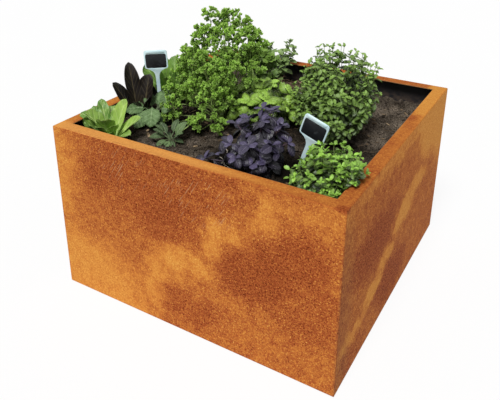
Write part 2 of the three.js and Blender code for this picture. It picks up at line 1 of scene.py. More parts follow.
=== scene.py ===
# Square weathering-steel planter with its herbs, labels and soil. Metres, +Z up.
import random
import bmesh
import bpy
from math import copysign, cos, exp, hypot, pi, radians, sin, tan
from mathutils import Matrix, Vector, noise


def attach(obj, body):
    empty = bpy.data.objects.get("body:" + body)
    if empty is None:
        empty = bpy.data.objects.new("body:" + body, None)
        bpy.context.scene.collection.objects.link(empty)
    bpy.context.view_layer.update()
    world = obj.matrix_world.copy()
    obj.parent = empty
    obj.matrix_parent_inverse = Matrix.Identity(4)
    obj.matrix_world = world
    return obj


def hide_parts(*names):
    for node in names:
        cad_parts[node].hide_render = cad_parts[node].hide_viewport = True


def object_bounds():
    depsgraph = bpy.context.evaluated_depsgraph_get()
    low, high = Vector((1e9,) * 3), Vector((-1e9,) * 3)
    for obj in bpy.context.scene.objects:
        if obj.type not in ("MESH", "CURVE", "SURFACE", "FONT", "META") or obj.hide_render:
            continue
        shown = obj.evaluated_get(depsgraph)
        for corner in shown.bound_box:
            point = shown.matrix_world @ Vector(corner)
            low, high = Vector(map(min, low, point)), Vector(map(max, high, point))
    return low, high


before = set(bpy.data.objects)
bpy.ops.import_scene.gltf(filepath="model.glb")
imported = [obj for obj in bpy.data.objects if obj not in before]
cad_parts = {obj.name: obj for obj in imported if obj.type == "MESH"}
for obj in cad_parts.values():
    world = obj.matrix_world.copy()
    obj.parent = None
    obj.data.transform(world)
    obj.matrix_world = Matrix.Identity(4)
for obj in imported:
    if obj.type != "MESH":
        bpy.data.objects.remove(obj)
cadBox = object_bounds()
scene = bpy.context.scene
scene.view_settings.view_transform = "Standard"

# Sizes of the planter that the looks lean on
planter = dict(half=0.4, height=0.48, rim=0.035, bedHalf=0.3937, soilLevel=0.415, soilBase=0.0443)


# Shader helpers

class Wire:
    # what a socket gives out, reckoned with like a number
    def __init__(self, socket):
        self.socket = socket

    def __add__(self, other):
        return calc("ADD", self, other)

    def __sub__(self, other):
        return calc("SUBTRACT", self, other)

    def __rsub__(self, other):
        return calc("SUBTRACT", other, self)

    def __mul__(self, other):
        return calc("MULTIPLY", self, other)


def plug(socket, value):
    if isinstance(value, Wire):
        socket.id_data.links.new(value.socket, socket)
    else:
        socket.default_value = paint(value) if isinstance(value, str) else value


def node(kind, values=None, tree=None, **settings):
    # a node in the tree of the wires that feed it
    values = values or {}
    if tree is None:
        tree = next(value for value in values.values() if isinstance(value, Wire)).socket.id_data
    made = tree.nodes.new("ShaderNode" + kind)
    for name, value in settings.items():
        setattr(made, name, value)
    for name, value in values.items():
        plug(made.inputs[name], value)
    return made


def calc(operation, first, second=0.0):
    return Wire(node("Math", {0: first, 1: second}, operation=operation).outputs[0])


def capped(wire):
    # the sum that the wire comes from stays between 0 and 1
    wire.socket.node.use_clamp = True
    return wire


def vectorCalc(operation, first, second=(0, 0, 0)):
    made = node("VectorMath", {0: first, 1: second}, operation=operation)
    return Wire(made.outputs["Value" if operation in ("LENGTH", "DOT_PRODUCT") else "Vector"])


def scaled(vector, amount):
    return Wire(node("VectorMath", {0: vector, "Scale": amount}, operation="SCALE").outputs["Vector"])


def axes(vector):
    return [Wire(socket) for socket in node("SeparateXYZ", {0: vector}).outputs]


def blend(share, first, second):
    return Wire(node("Mix", {0: share, 6: first, 7: second}, data_type="RGBA").outputs[2])


def ease(value, low, high, start=0.0, end=1.0):
    values = {"Value": value, "From Min": low, "From Max": high, "To Min": start, "To Max": end}
    return Wire(node("MapRange", values, interpolation_type="SMOOTHSTEP").outputs["Result"])


def cloud(place, scale, detail=2.0, rough=0.5, twist=0.0, output="Fac"):
    values = {"Vector": place, "Scale": scale, "Detail": detail, "Roughness": rough, "Distortion": twist}
    return Wire(node("TexNoise", values).outputs[output])


def paint(code):
    parts = [int(code[i:i + 2], 16) / 255 for i in (1, 3, 5)]
    flat = [p / 12.92 if p <= 0.04045 else ((p + 0.055) / 1.055) ** 2.4 for p in parts]
    return (*flat, 1.0)


def ramp(value, stops):
    made = node("ValToRGB", {"Fac": value})
    scale = made.color_ramp.elements
    while len(scale) < len(stops):
        scale.new(0.5)
    for step, (place, code) in zip(scale, stops):
        step.position = place
        step.color = paint(code)
    return Wire(made.outputs["Color"])


def bump(height, strength, distance, below=None):
    values = {"Height": height, "Strength": strength, "Distance": distance}
    if below is not None:
        values["Normal"] = below
    return Wire(node("Bump", values).outputs["Normal"])


def tintOf(place):
    return Wire(node("Attribute", tree=place.socket.id_data, attribute_name="tint").outputs["Fac"])


def makeSkin(name, look, given=(), roughness=0.5, metallic=0.0, specular=0.4):
    # a look takes the place on the object and gives colour, roughness and normal; None leaves the plain value
    made = bpy.data.materials.new(name)
    made.use_nodes = True
    inputs = made.node_tree.nodes["Principled BSDF"].inputs
    place = Wire(node("TexCoord", tree=made.node_tree).outputs["Object"])
    values = [("Roughness", roughness), ("Metallic", metallic), ("Specular IOR Level", specular),
              *zip(("Base Color", "Roughness", "Normal"), look(place, *given))]
    for label, value in values:
        if value is not None:
            plug(inputs[label], value)
    return made


# Shared effects. Each is a function of wires made into a node group, and a call places that group.

class Effect:
    def __init__(self, build, outputs=1, **inputs):
        self.inputs = {"vector": (0.0, 0.0, 0.0), **inputs}
        self.group = bpy.data.node_groups.new(build.__name__, "ShaderNodeTree")
        sockets = self.group.interface
        for name, value in self.inputs.items():
            kind = "NodeSocketFloat" if isinstance(value, float) else "NodeSocketVector"
            sockets.new_socket(name=name, in_out="INPUT", socket_type=kind).default_value = value
        for index in range(outputs):
            sockets.new_socket(name="result " + str(index + 1), in_out="OUTPUT", socket_type="NodeSocketFloat")
        starts = self.group.nodes.new("NodeGroupInput").outputs
        ends = self.group.nodes.new("NodeGroupOutput").inputs
        results = build(*[Wire(starts[name]) for name in self.inputs])
        for index, result in enumerate(results if outputs > 1 else [results]):
            plug(ends[index], result)

    def __call__(self, *values):
        made = node("Group", dict(zip(self.inputs, values)), node_tree=self.group)
        wires = [Wire(socket) for socket in made.outputs]
        return wires if len(wires) > 1 else wires[0]


def grainField(vector, scale, contrast):
    # fine grains in two sizes, from 0 to 1
    both = cloud(vector, scale, 3.0, 0.6) * 0.6 + cloud(vector, scale * 2.6, 2.0, 0.6) * 0.4
    return capped((both - 0.5) * (contrast * 3.0) + 0.5)


def patchField(vector, scale, low, high):
    # broad cloudy patches, from 0 to 1
    return ease(cloud(vector, scale, 4.0, 0.55, 0.4), low, high)


def spotField(vector, total, centre, reach, amount):
    # a soft ellipsoid added to the total
    away = vectorCalc("DIVIDE", vectorCalc("SUBTRACT", vector, centre), reach)
    return ease(vectorCalc("LENGTH", away), 1.2, 0.45) * amount + total


def edgeField(vector, width):
    # the edges of the planter: where two of its faces are both near
    half = Vector((planter["half"], planter["half"], planter["height"] / 2))
    away = vectorCalc("ABSOLUTE", vectorCalc("SUBTRACT", vector, (0, 0, half.z)))
    x, y, z = [ease(part, width, 0.0) for part in axes(vectorCalc("SUBTRACT", half, away))]
    return calc("MAXIMUM", calc("MAXIMUM", x * y, y * z), x * z)


def lineField(vector, turn, density, scale):
    # thin broken lines along one direction
    turned = node("VectorRotate", {"Vector": vector, "Rotation": turn}, rotation_type="EULER_XYZ").outputs["Vector"]
    field = cloud(vectorCalc("MULTIPLY", Wire(turned), (0.06, 1.0, 1.0)), scale)
    return ease(field, density, density + 0.08)


def veinField(vector, pairs, slant, ribWidth):
    # midrib and side veins on a leaf's own map, where U runs from stalk to tip, and the way along it
    along, across, unused = axes(vector)
    side = calc("ABSOLUTE", across - 0.5) * 2.0
    rib = ease(side - ribWidth * (1.15 - along), 0.06, -0.02)
    gap = calc("ABSOLUTE", calc("FRACT", along * pairs - side * slant) - 0.5)
    return rib, ease(gap, 0.16, 0.02), along


def dustField(vector, low, high, amount):
    # earth dust that thins out with height above the soil
    return ease(axes(vector)[2], high, low) * ease(cloud(vector, 90.0, 4.0, 0.6), 0.38, 0.62) * amount


speckle = Effect(grainField, scale=200.0, contrast=1.0)
mottle = Effect(patchField, scale=6.0, low=0.35, high=0.65)
softSpot = Effect(spotField, total=0.0, centre=(0.0, 0.0, 0.0), reach=(0.1, 0.1, 0.1), amount=0.3)
boxEdge = Effect(edgeField, width=0.005)
scuffs = Effect(lineField, turn=(0.0, 0.0, 0.0), density=0.62, scale=60.0)
leafVeins = Effect(veinField, 3, pairs=6.0, slant=1.5, ribWidth=0.1)
earthDust = Effect(dustField, low=0.41, high=0.46, amount=0.8)


def spots(vector, total, rows):
    for centre, reach, amount in rows:
        total = softSpot(vector, total, centre, reach, amount)
    return total


print("shared effects ready")


# Objects and meshes

def addObject(name, data):
    made = bpy.data.objects.new(name, data)
    scene.collection.objects.link(made)
    return made


def meshFrom(bm, name):
    mesh = bpy.data.meshes.new(name)
    bm.to_mesh(mesh)
    bm.free()
    return mesh


def startMesh():
    bm = bmesh.new()
    bm.loops.layers.uv.new("leafMap")
    bm.verts.layers.float.new("tint")
    return bm


def finishPiece(bm, name, materials, slot, nodes=(), body="planter_body", sharp=50):
    piece = addObject(name, meshFrom(bm, name))
    for material in materials:
        piece.data.materials.append(material)
    piece.data.shade_smooth()
    piece.data.set_sharp_from_angle(angle=radians(sharp))
    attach(piece, body)
    if nodes:
        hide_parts(*nodes)


def absorb(bm, mesh):
    bm.from_mesh(mesh)
    bpy.data.meshes.remove(mesh)


def addCopy(bm, pattern, place, tint):
    copy = pattern.copy()
    copy.transform(place)
    copy.attributes["tint"].data.foreach_set("value", [tint] * len(copy.vertices))
    absorb(bm, copy)


# Camera, light and floor
view = dict(place=(0.7475, -1.3759, 1.1152), azimuth=30.138, elevation=21.615, roll=0.305, lens=43.944, shift=-0.2)
light = dict(side=300, sky=0.25, sunPower=2.9, sunFrom=(0.08, -0.56, 0.82), sunSize=0.36, floorShow=0.86)


def makeCamera():
    data = bpy.data.cameras.new("photoCamera")
    data.sensor_width = 36
    data.lens = view["lens"]
    data.shift_y = view["shift"]
    data.clip_start = 0.05
    place = Matrix.Translation(view["place"])
    for axis, angle in (("Z", view["azimuth"]), ("X", 90 - view["elevation"]), ("Z", view["roll"])):
        place = place @ Matrix.Rotation(radians(angle), 4, axis)
    scene.camera = addObject("photoCamera", data)
    scene.camera.matrix_world = place


def backdropRays(tree):
    rays = node("LightPath", tree=tree).outputs
    shine = calc("MAXIMUM", Wire(rays["Is Glossy Ray"]), Wire(rays["Is Transmission Ray"]))
    return calc("MAXIMUM", Wire(rays["Is Camera Ray"]), shine)


def makeLight():
    world = bpy.data.worlds.new("studio")
    scene.world = world
    world.use_nodes = True
    backdrop = world.node_tree.nodes["Background"].inputs
    backdrop["Color"].default_value = (1, 1, 1, 1)
    plug(backdrop["Strength"], backdropRays(world.node_tree) * (1 - light["sky"]) + light["sky"])
    lamp = bpy.data.lights.new("keyLamp", "SUN")
    lamp.energy = light["sunPower"]
    lamp.angle = light["sunSize"]
    sun = addObject("keyLamp", lamp)
    sun.matrix_world = Vector(light["sunFrom"]).to_track_quat("Z", "Y").to_matrix().to_4x4()


def floorLook(place):
    return blend(mottle(place, 1.2), (0.93, 0.93, 0.93, 1), (0.95, 0.95, 0.95, 1)), None, None


def makeFloor():
    made = makeSkin("paleFloor", floorLook, (), 0.9, 0.0, 0.1)
    tree = made.node_tree
    shader = Wire(tree.nodes["Principled BSDF"].outputs[0])
    glow = node("Emission", {"Color": (1, 1, 1, 1), "Strength": 1.0}, tree)
    mixed = node("MixShader", {0: backdropRays(tree) * light["floorShow"], 1: shader, 2: Wire(glow.outputs[0])})
    plug(tree.nodes["Material Output"].inputs["Surface"], Wire(mixed.outputs[0]))
    bm = bmesh.new()
    bmesh.ops.create_grid(bm, x_segments=4, y_segments=4, size=12)
    bmesh.ops.translate(bm, vec=(0, 0, -0.0006), verts=bm.verts[:])
    floor = addObject("studioFloor", meshFrom(bm, "studioFloor"))
    floor.data.materials.append(made)


makeCamera()
makeLight()
makeFloor()
print("camera, light and floor ready")


# Weathering steel. Patches are listed by face: its axis, its place and the depth of the patches, then rows of
# place along the face, height, reach along, reach up, all in millimetres, and amount in hundredths. Plus is
# ochre, minus is dark brown. The marks aren't bent by the wander: the bright front rim, the redder side rims
# and the dark corner mark.
rust = dict(
    stops=[(0.0, "#551A05"), (0.11, "#73300F"), (0.222, "#8F441D"), (0.361, "#A05227"), (0.472, "#AE632B"),
           (0.583, "#BD7231"), (0.667, "#CA8137"), (0.778, "#D89944"), (1.0, "#ECBD70")],
    darkest=-0.4, palest=1.4, level=0.47, cloudy=0.34, wander=0.062, flakes=1.35, grain=1.45, coarse=1.45, fine=0.6,
    streaks=0.75, streakWay=(0.46, 0.80, 0.38), pits=0.46, sparks=0.42, edgeDark=-0.12,
    rimBand=(0.0012, 0.0004), rimFlakes=0.6, rimGrain=0.45, cutBand=(0.0004, 0.0024), cutShow=0.6,
    patches=[
        (1, -400, 100, [(-340, 40, 260, 150, 44)]),
        (1, -400, 80, [(-420, 400, 100, 170, 32), (-420, 220, 100, 120, 16)]),
        (1, -400, 12, [(-60, 465, 300, 30, -14)]),
        (1, -400, 60, [
            (0, 215, 100, 45, 34), (-60, 170, 70, 50, 26), (-90, 100, 40, 70, 28), (85, 300, 34, 60, 32),
            (130, 335, 70, 28, 26), (220, 400, 34, 70, 26), (250, 450, 60, 30, 12), (360, 440, 90, 50, 14),
            (-100, 370, 230, 120, -20), (-50, 330, 90, 80, -14), (80, 430, 120, 60, -14), (-240, 410, 110, 80, -12),
            (180, 245, 110, 85, -38), (290, 330, 100, 70, -32), (330, 200, 110, 110, -16), (20, 80, 100, 60, -22)]),
        (0, 400, 60, [
            (300, 430, 200, 120, 78), (380, 330, 80, 100, 36), (20, 245, 100, 42, 58), (160, 285, 100, 32, 48),
            (-90, 185, 80, 30, 44), (-180, 140, 70, 36, 54), (-310, 105, 100, 26, 34), (0, 460, 380, 30, 31),
            (-180, 280, 180, 85, -42), (-30, 90, 140, 70, -54), (-300, 50, 100, 40, -17)]),
        (0, -400, 80, [(100, 100, 240, 130, 40), (-100, 360, 200, 90, -30)]),
        (1, 400, 80, [(120, 360, 260, 120, 42), (-200, 140, 180, 100, -32)]),
    ],
    marks=[
        ((0.0, -0.380, 0.4822), (0.46, 0.026, 0.0034), 0.42),
        ((-0.05, -0.402, 0.4725), (0.30, 0.010, 0.0075), -0.13),
        ((-0.386, -0.22, 0.4815), (0.022, 0.22, 0.004), 0.26),
        ((0.384, 0.02, 0.4815), (0.022, 0.40, 0.004), -0.22),
        ((0.0, 0.384, 0.4815), (0.40, 0.022, 0.004), -0.10),
        ((0.390, -0.392, 0.480), (0.016, 0.012, 0.012), -0.50),
    ],
    scratched=[((-0.19, -0.4, 0.42), (0.11, 0.02, 0.07), 0.32), ((0.03, -0.4, 0.40), (0.13, 0.02, 0.08), 0.32)],
    scratchTurn=(0, radians(57), 0),
    bloom=[((0.4, -0.385, 0.16), (0.006, 0.07, 0.34), 0.2)],
    brightRim=[((-0.24, -0.384, 0.48), (0.40, 0.03, 0.02), 0.62)],
)


def facePatches():
    for axis, plane, depth, rows in rust["patches"]:
        for along, up, wide, tall, amount in rows:
            centre = Vector((along, along, up))
            reach = Vector((wide, wide, tall))
            centre[axis] = plane
            reach[axis] = depth
            yield centre * 0.001, reach * 0.001, amount * 0.01


def rustField(place):
    bent = cloud(place, 11.0, 8.0, 0.74, output="Color")
    shift = scaled(vectorCalc("SUBTRACT", bent, (0.5, 0.5, 0.5)), 2 * rust["wander"])
    total = (cloud(place, 6.0, 5.0, 0.6, 0.3) - 0.5) * rust["cloudy"] + rust["level"]
    total = spots(vectorCalc("ADD", place, shift), total, facePatches())
    return spots(place, total, rust["marks"])


def crustField(vector):
    # flakes that break up the patches, then streaks, single grains, dark pits and pale sparks, then the relief
    along = vectorCalc("DOT_PRODUCT", vector, rust["streakWay"])
    drawn = vectorCalc("SUBTRACT", vector, scaled(rust["streakWay"], along * 0.84))
    grains = cloud(vector, 190.0, 3.0, 0.75)
    pits = ease(cloud(vector, 320.0, 1.0), 0.57, 0.68)
    sparks = ease(cloud(vectorCalc("ADD", vector, (3.1, 1.7, 0.4)), 330.0, 1.0), 0.59, 0.69)
    swing = (cloud(drawn, 210.0, 2.0, 0.6) - 0.5) * rust["streaks"] + (grains - 0.5) * rust["grain"]
    swing = swing - pits * rust["pits"] + sparks * rust["sparks"]
    return (cloud(vector, 40.0, 6.0, 0.75) - 0.5) * rust["flakes"], swing, grains - pits * 0.5


rustCrust = Effect(crustField, 3)


def rustLook(place, hidden):
    field = mottle(place, 9.0, 0.3, 0.7) * 0.35 + 0.1 if hidden else rustField(place)
    flakes, swing, height = rustCrust(place)
    top = ease(axes(place)[2], *[planter["height"] - below for below in rust["rimBand"]])
    firm = ease(field + flakes * (1.0 - top * rust["rimFlakes"]), -0.05, 1.05, 0.07, 0.9)
    swing = swing * (ease(firm, 0.3, 0.85, rust["coarse"], rust["fine"]) * (1.0 - top * rust["rimGrain"]))
    worn = firm + swing + boxEdge(place) * rust["edgeDark"]
    share = calc("DIVIDE", worn - rust["darkest"], rust["palest"] - rust["darkest"])
    colour = ramp(capped(share), rust["stops"])
    if not hidden:
        # pale scratches on the front, a grey bloom by the near corner, the bare cut edge and the bright front rim
        lines = scuffs(place, rust["scratchTurn"], 0.60, 300.0)
        colour = blend(capped(lines * spots(place, 0.0, rust["scratched"])), colour, "#D2B78C")
        colour = blend(spots(place, 0.0, rust["bloom"]), colour, "#6E5338")
        x, y, z = axes(vectorCalc("ABSOLUTE", place))
        aside, below = rust["cutBand"]
        inner = calc("LESS_THAN", calc("MAXIMUM", x, y), planter["half"] - planter["rim"] + aside)
        cut = inner * calc("GREATER_THAN", z, planter["height"] - below)
        colour = blend(cut * rust["cutShow"], colour, "#A98660")
        bright = top * spots(place, 0.0, rust["brightRim"])
        colour = blend(capped(bright * (swing + 1.0)), colour, "#EBA757")
    return colour, ease(height, 0.3, 0.7, 0.95, 0.74), bump(height, 0.4, 0.0007, bump(field, 0.3, 0.0012))


def zincLook(place):
    cloudy = mottle(place, 160.0)
    plate = blend(cloudy, "#A9ACAF", "#C4C6C8")
    colour = blend(mottle(place, 60.0, 0.5, 0.75) * 0.5, plate, "#8A6248")
    return colour, ease(cloudy, 0.0, 1.0, 0.35, 0.55), bump(speckle(place, 900.0), 0.15, 0.0002)


def linerLook(place):
    grain = speckle(place, 420.0, 0.8)
    dusty = earthDust(place, 0.415, 0.452, 0.75)
    lines = scuffs(place, (0, 0, 0.2), 0.66, 90.0)
    scraped = blend(lines * 0.35, blend(grain, "#1B1B1F", "#25262A"), "#4A4A4E")
    return blend(dusty, scraped, "#54453A"), dusty * 0.4 + 0.48, bump(grain, 0.2, 0.0003)


def dressSteel():
    rustFace = makeSkin("rustPatina", rustLook, (False,), 0.85, 0.0, 0.12)
    rustBase = makeSkin("rustUnderside", rustLook, (True,), 0.85, 0.0, 0.12)
    zincPlate = makeSkin("zincPlate", zincLook, (), 0.42, 0.9, 0.5)
    linerPlastic = makeSkin("linerPlastic", linerLook)
    for name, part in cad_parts.items():
        if name.endswith("_panel") and not name.endswith("label_panel"):
            skin = rustFace
        elif name.startswith("base_"):
            skin = rustBase
        elif "_bolt_" in name or "_nut_" in name:
            skin = zincPlate
        elif name == "liner":
            skin = linerPlastic
        else:
            continue
        for slot in part.material_slots:
            slot.material = skin


dressSteel()
print("steel, zinc and liner dressed")


# Shapes of stalks, soil and leaves

def up(height):
    return Vector((0, 0, height))


def clamp(value, low=0.0, high=1.0):
    return max(low, min(high, value))


def placed(point, heading=0.0, rise=0.0, roll=0.0, size=1.0):
    turn = Matrix.Rotation(heading, 4, "Z") @ Matrix.Rotation(-rise, 4, "Y") @ Matrix.Rotation(roll, 4, "X")
    return Matrix.Translation(point) @ turn @ Matrix.Scale(size, 4)


def addStem(bm, path, startRadius, endRadius, tint=0.5, sides=5, material=1):
    stem = startMesh()
    layer = stem.verts.layers.float["tint"]
    bmesh.ops.create_circle(stem, cap_ends=True, radius=1.0, segments=sides)
    stem.faces.ensure_lookup_table()
    face = stem.faces[0]
    last = Matrix.Identity(4)
    for step, point in enumerate(path):
        ahead = path[min(step + 1, len(path) - 1)] - path[max(step - 1, 0)]
        turn = ahead.to_track_quat("Z", "X").to_matrix().to_4x4()
        radius = startRadius + (endRadius - startRadius) * step / (len(path) - 1)
        here = Matrix.Translation(point) @ turn @ Matrix.Scale(radius, 4)
        if step > 0:
            grown = bmesh.ops.extrude_face_region(stem, geom=[face], use_keep_orig=step == 1)["geom"]
            face = next(part for part in grown if isinstance(part, bmesh.types.BMFace))
        bmesh.ops.transform(stem, matrix=here @ last.inverted(), verts=face.verts[:])
        last = here
    for vert in stem.verts:
        vert[layer] = tint
    for part in stem.faces:
        part.material_index = material
    bmesh.ops.recalc_face_normals(stem, faces=stem.faces[:])
    absorb(bm, meshFrom(stem, "stem"))


def curvePath(start, lean, end, steps):
    # a quadratic bend from start to end by way of lean
    path = []
    for step in range(steps + 1):
        t = step / steps
        path.append(start * (1 - t) ** 2 + lean * (2 * t * (1 - t)) + end * t ** 2)
    return path


def soilHeight(x, y):
    # the rolling height that the plants stand at
    roll = sin(x / 0.095) * cos(y / 0.08 + 0.6) + 0.6 * sin(x / 0.053 + y / 0.061)
    clod = hypot(x + 0.21 * planter["bedHalf"], y - 0.76 * planter["bedHalf"]) / 0.06
    return planter["soilLevel"] + 0.004 * roll + 0.016 * exp(-clod * clod)


# Leaf patterns, one unit long from stalk to tip along +X. "cup" lifts both edges, "fold" makes a valley.
plainLeaf = dict(cells=(8, 4), width=0.6, belly=0.85, plump=0.7, stalk=0.1, stalkWidth=0.06, droop=25, twist=0, fold=0.2,
                 cup=0.0, ruffle=0.0, waves=2.5, pucker=0.0, veins=5, teeth=0.0, thickness=0.014)


def leafPoint(shape, share, side):
    along = 0.5 * share + 0.5 * sin(share * pi / 2)
    blade = max(0.0, (along - shape["stalk"]) / (1 - shape["stalk"]))
    swell = max(0.0, sin(pi * blade ** shape["belly"])) ** shape["plump"]
    half = max(shape["width"] / 2 * swell, shape["stalkWidth"] / 2 * (1 - along) + 0.004)
    if abs(side) > 0.99 and 0.04 < blade < 0.97:
        half *= 1 + shape["teeth"] * (1 if round(share * shape["cells"][0]) % 2 else -1)
    wave = sin(2 * pi * shape["waves"] * along + (0.7 if side > 0 else 2.6))
    rows = abs(sin(pi * (shape["veins"] * along - 1.4 * abs(side))))
    lift = half * (shape["fold"] * abs(side) + shape["cup"] * side * side)
    lift += shape["ruffle"] * side * side * wave * min(1.0, 3 * blade)
    lift += shape["pucker"] * rows * (1 - side ** 4) * min(1.0, 4 * blade)
    turn = radians(shape["twist"]) * along
    across = side * half * cos(turn) - lift * sin(turn)
    lift = side * half * sin(turn) + lift * cos(turn)
    bend = radians(shape["droop"])
    angle = bend * along
    return Vector((sin(angle) / bend + lift * sin(angle), across, (cos(angle) - 1) / bend + lift * cos(angle)))


def frillPoint(shape, along, side):
    # a crisped fan, as on a curled parsley leaflet
    reach = 0.1 + 0.9 * along
    wave = cos(pi * shape["frills"] * side + shape["phase"])
    turn = side * radians(shape["spread"]) / 2
    radius = reach * (1 - shape["notch"] * (1 - wave) * reach)
    lift = shape["frill"] * wave * reach ** 1.6 + shape["cup"] * reach * reach
    return Vector((radius * cos(turn), radius * sin(turn) * 0.85, lift))


def makePattern(shape, pointAt=leafPoint):
    bm = startMesh()
    cells = shape["cells"]
    bmesh.ops.create_grid(bm, x_segments=cells[0], y_segments=cells[1], size=0.5, calc_uvs=True)
    for vert in bm.verts:
        vert.co = pointAt(shape, vert.co.x + 0.5, 2 * vert.co.y)
    bmesh.ops.solidify(bm, geom=bm.faces[:], thickness=shape["thickness"])
    bmesh.ops.recalc_face_normals(bm, faces=bm.faces[:])
    return meshFrom(bm, "leafPattern")


def makeCluster(leaf, count, rise, chance):
    # leaves set round a short axis that points up, and one on top of it
    bm = startMesh()
    for index in range(count):
        heading = index * 2 * pi / (count - 1) + chance.uniform(-0.35, 0.35)
        tilt = pi / 2 if index == count - 1 else radians(chance.uniform(*rise))
        place = placed(up(0), heading, tilt, chance.uniform(-0.5, 0.5), chance.uniform(0.75, 1.0))
        addCopy(bm, leaf, place, 0.5)
    return meshFrom(bm, "leafCluster")


# Looks of leaves and stalks
plainLook = dict(roughness=0.45, shine=0.4, pairs=4.0, slant=1.4, ribWidth=0.05, ribShow=0.4, vein=0.3, tip=0.0, base=0.0,
                 patch=60.0, spotty=0.25, bump=0.3)


def leafLook(place, look):
    leafMap = Wire(node("UVMap", tree=place.socket.id_data, uv_map="leafMap").outputs["UV"])
    rib, veins, along = leafVeins(leafMap, look["pairs"], look["slant"], look["ribWidth"])
    share = tintOf(place) * (1 - look["spotty"]) + mottle(place, look["patch"]) * look["spotty"]
    colour = blend(share, look["dark"], look["light"])
    colour = blend(calc("POWER", along, 3.0) * look["tip"], colour, look.get("tipColour", look["light"]))
    for part, amount in ((ease(along, 0.45, 0.0), "base"), (veins, "vein"), (rib, "ribShow")):
        colour = blend(part * look[amount], colour, look["rib"])
    grain = speckle(place, 600.0, 0.8)
    height = grain * 0.25 - calc("MAXIMUM", veins, rib)
    return colour, grain * 0.16 + (look["roughness"] - 0.08), bump(height, look["bump"], 0.0006)


def stalkLook(place, dark, pale):
    fibre = speckle(vectorCalc("MULTIPLY", place, (1, 1, 0.15)), 500.0)
    colour = blend(tintOf(place) * 0.7 + fibre * 0.3, dark, pale)
    return blend(earthDust(place, 0.412, 0.44, 0.7), colour, "#4A3B2E"), None, bump(fibre, 0.3, 0.0004)


def plantSkins(name, plan):
    look = {**plainLook, **plan["look"]}
    skins = [makeSkin(name + "Leaf", leafLook, (look,), look["roughness"], 0.0, look["shine"])]
    for part, word in (("stalk", "Stalk"), ("root", "Root")):
        if part in plan:
            skins.append(makeSkin(name + word, stalkLook, plan[part]))
    return skins


# Plants. "at" is the share of the bed's half size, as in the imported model.

def crownOf(plan):
    x, y = [share * planter["bedHalf"] for share in plan["at"]]
    return Vector((x, y, soilHeight(x, y)))


def leanOnRim(bm):
    # leaves lean on the inner edge of the rim and stay over the box
    inner = planter["half"] - planter["rim"] - 0.004
    for vert in bm.verts:
        low = vert.co.z < planter["height"] + 0.004
        limit = inner if low else planter["half"] - 0.004
        for axis in (0, 1):
            over = abs(vert.co[axis]) - limit
            if over > 0:
                vert.co[axis] = copysign(limit + 0.06 * over, vert.co[axis])


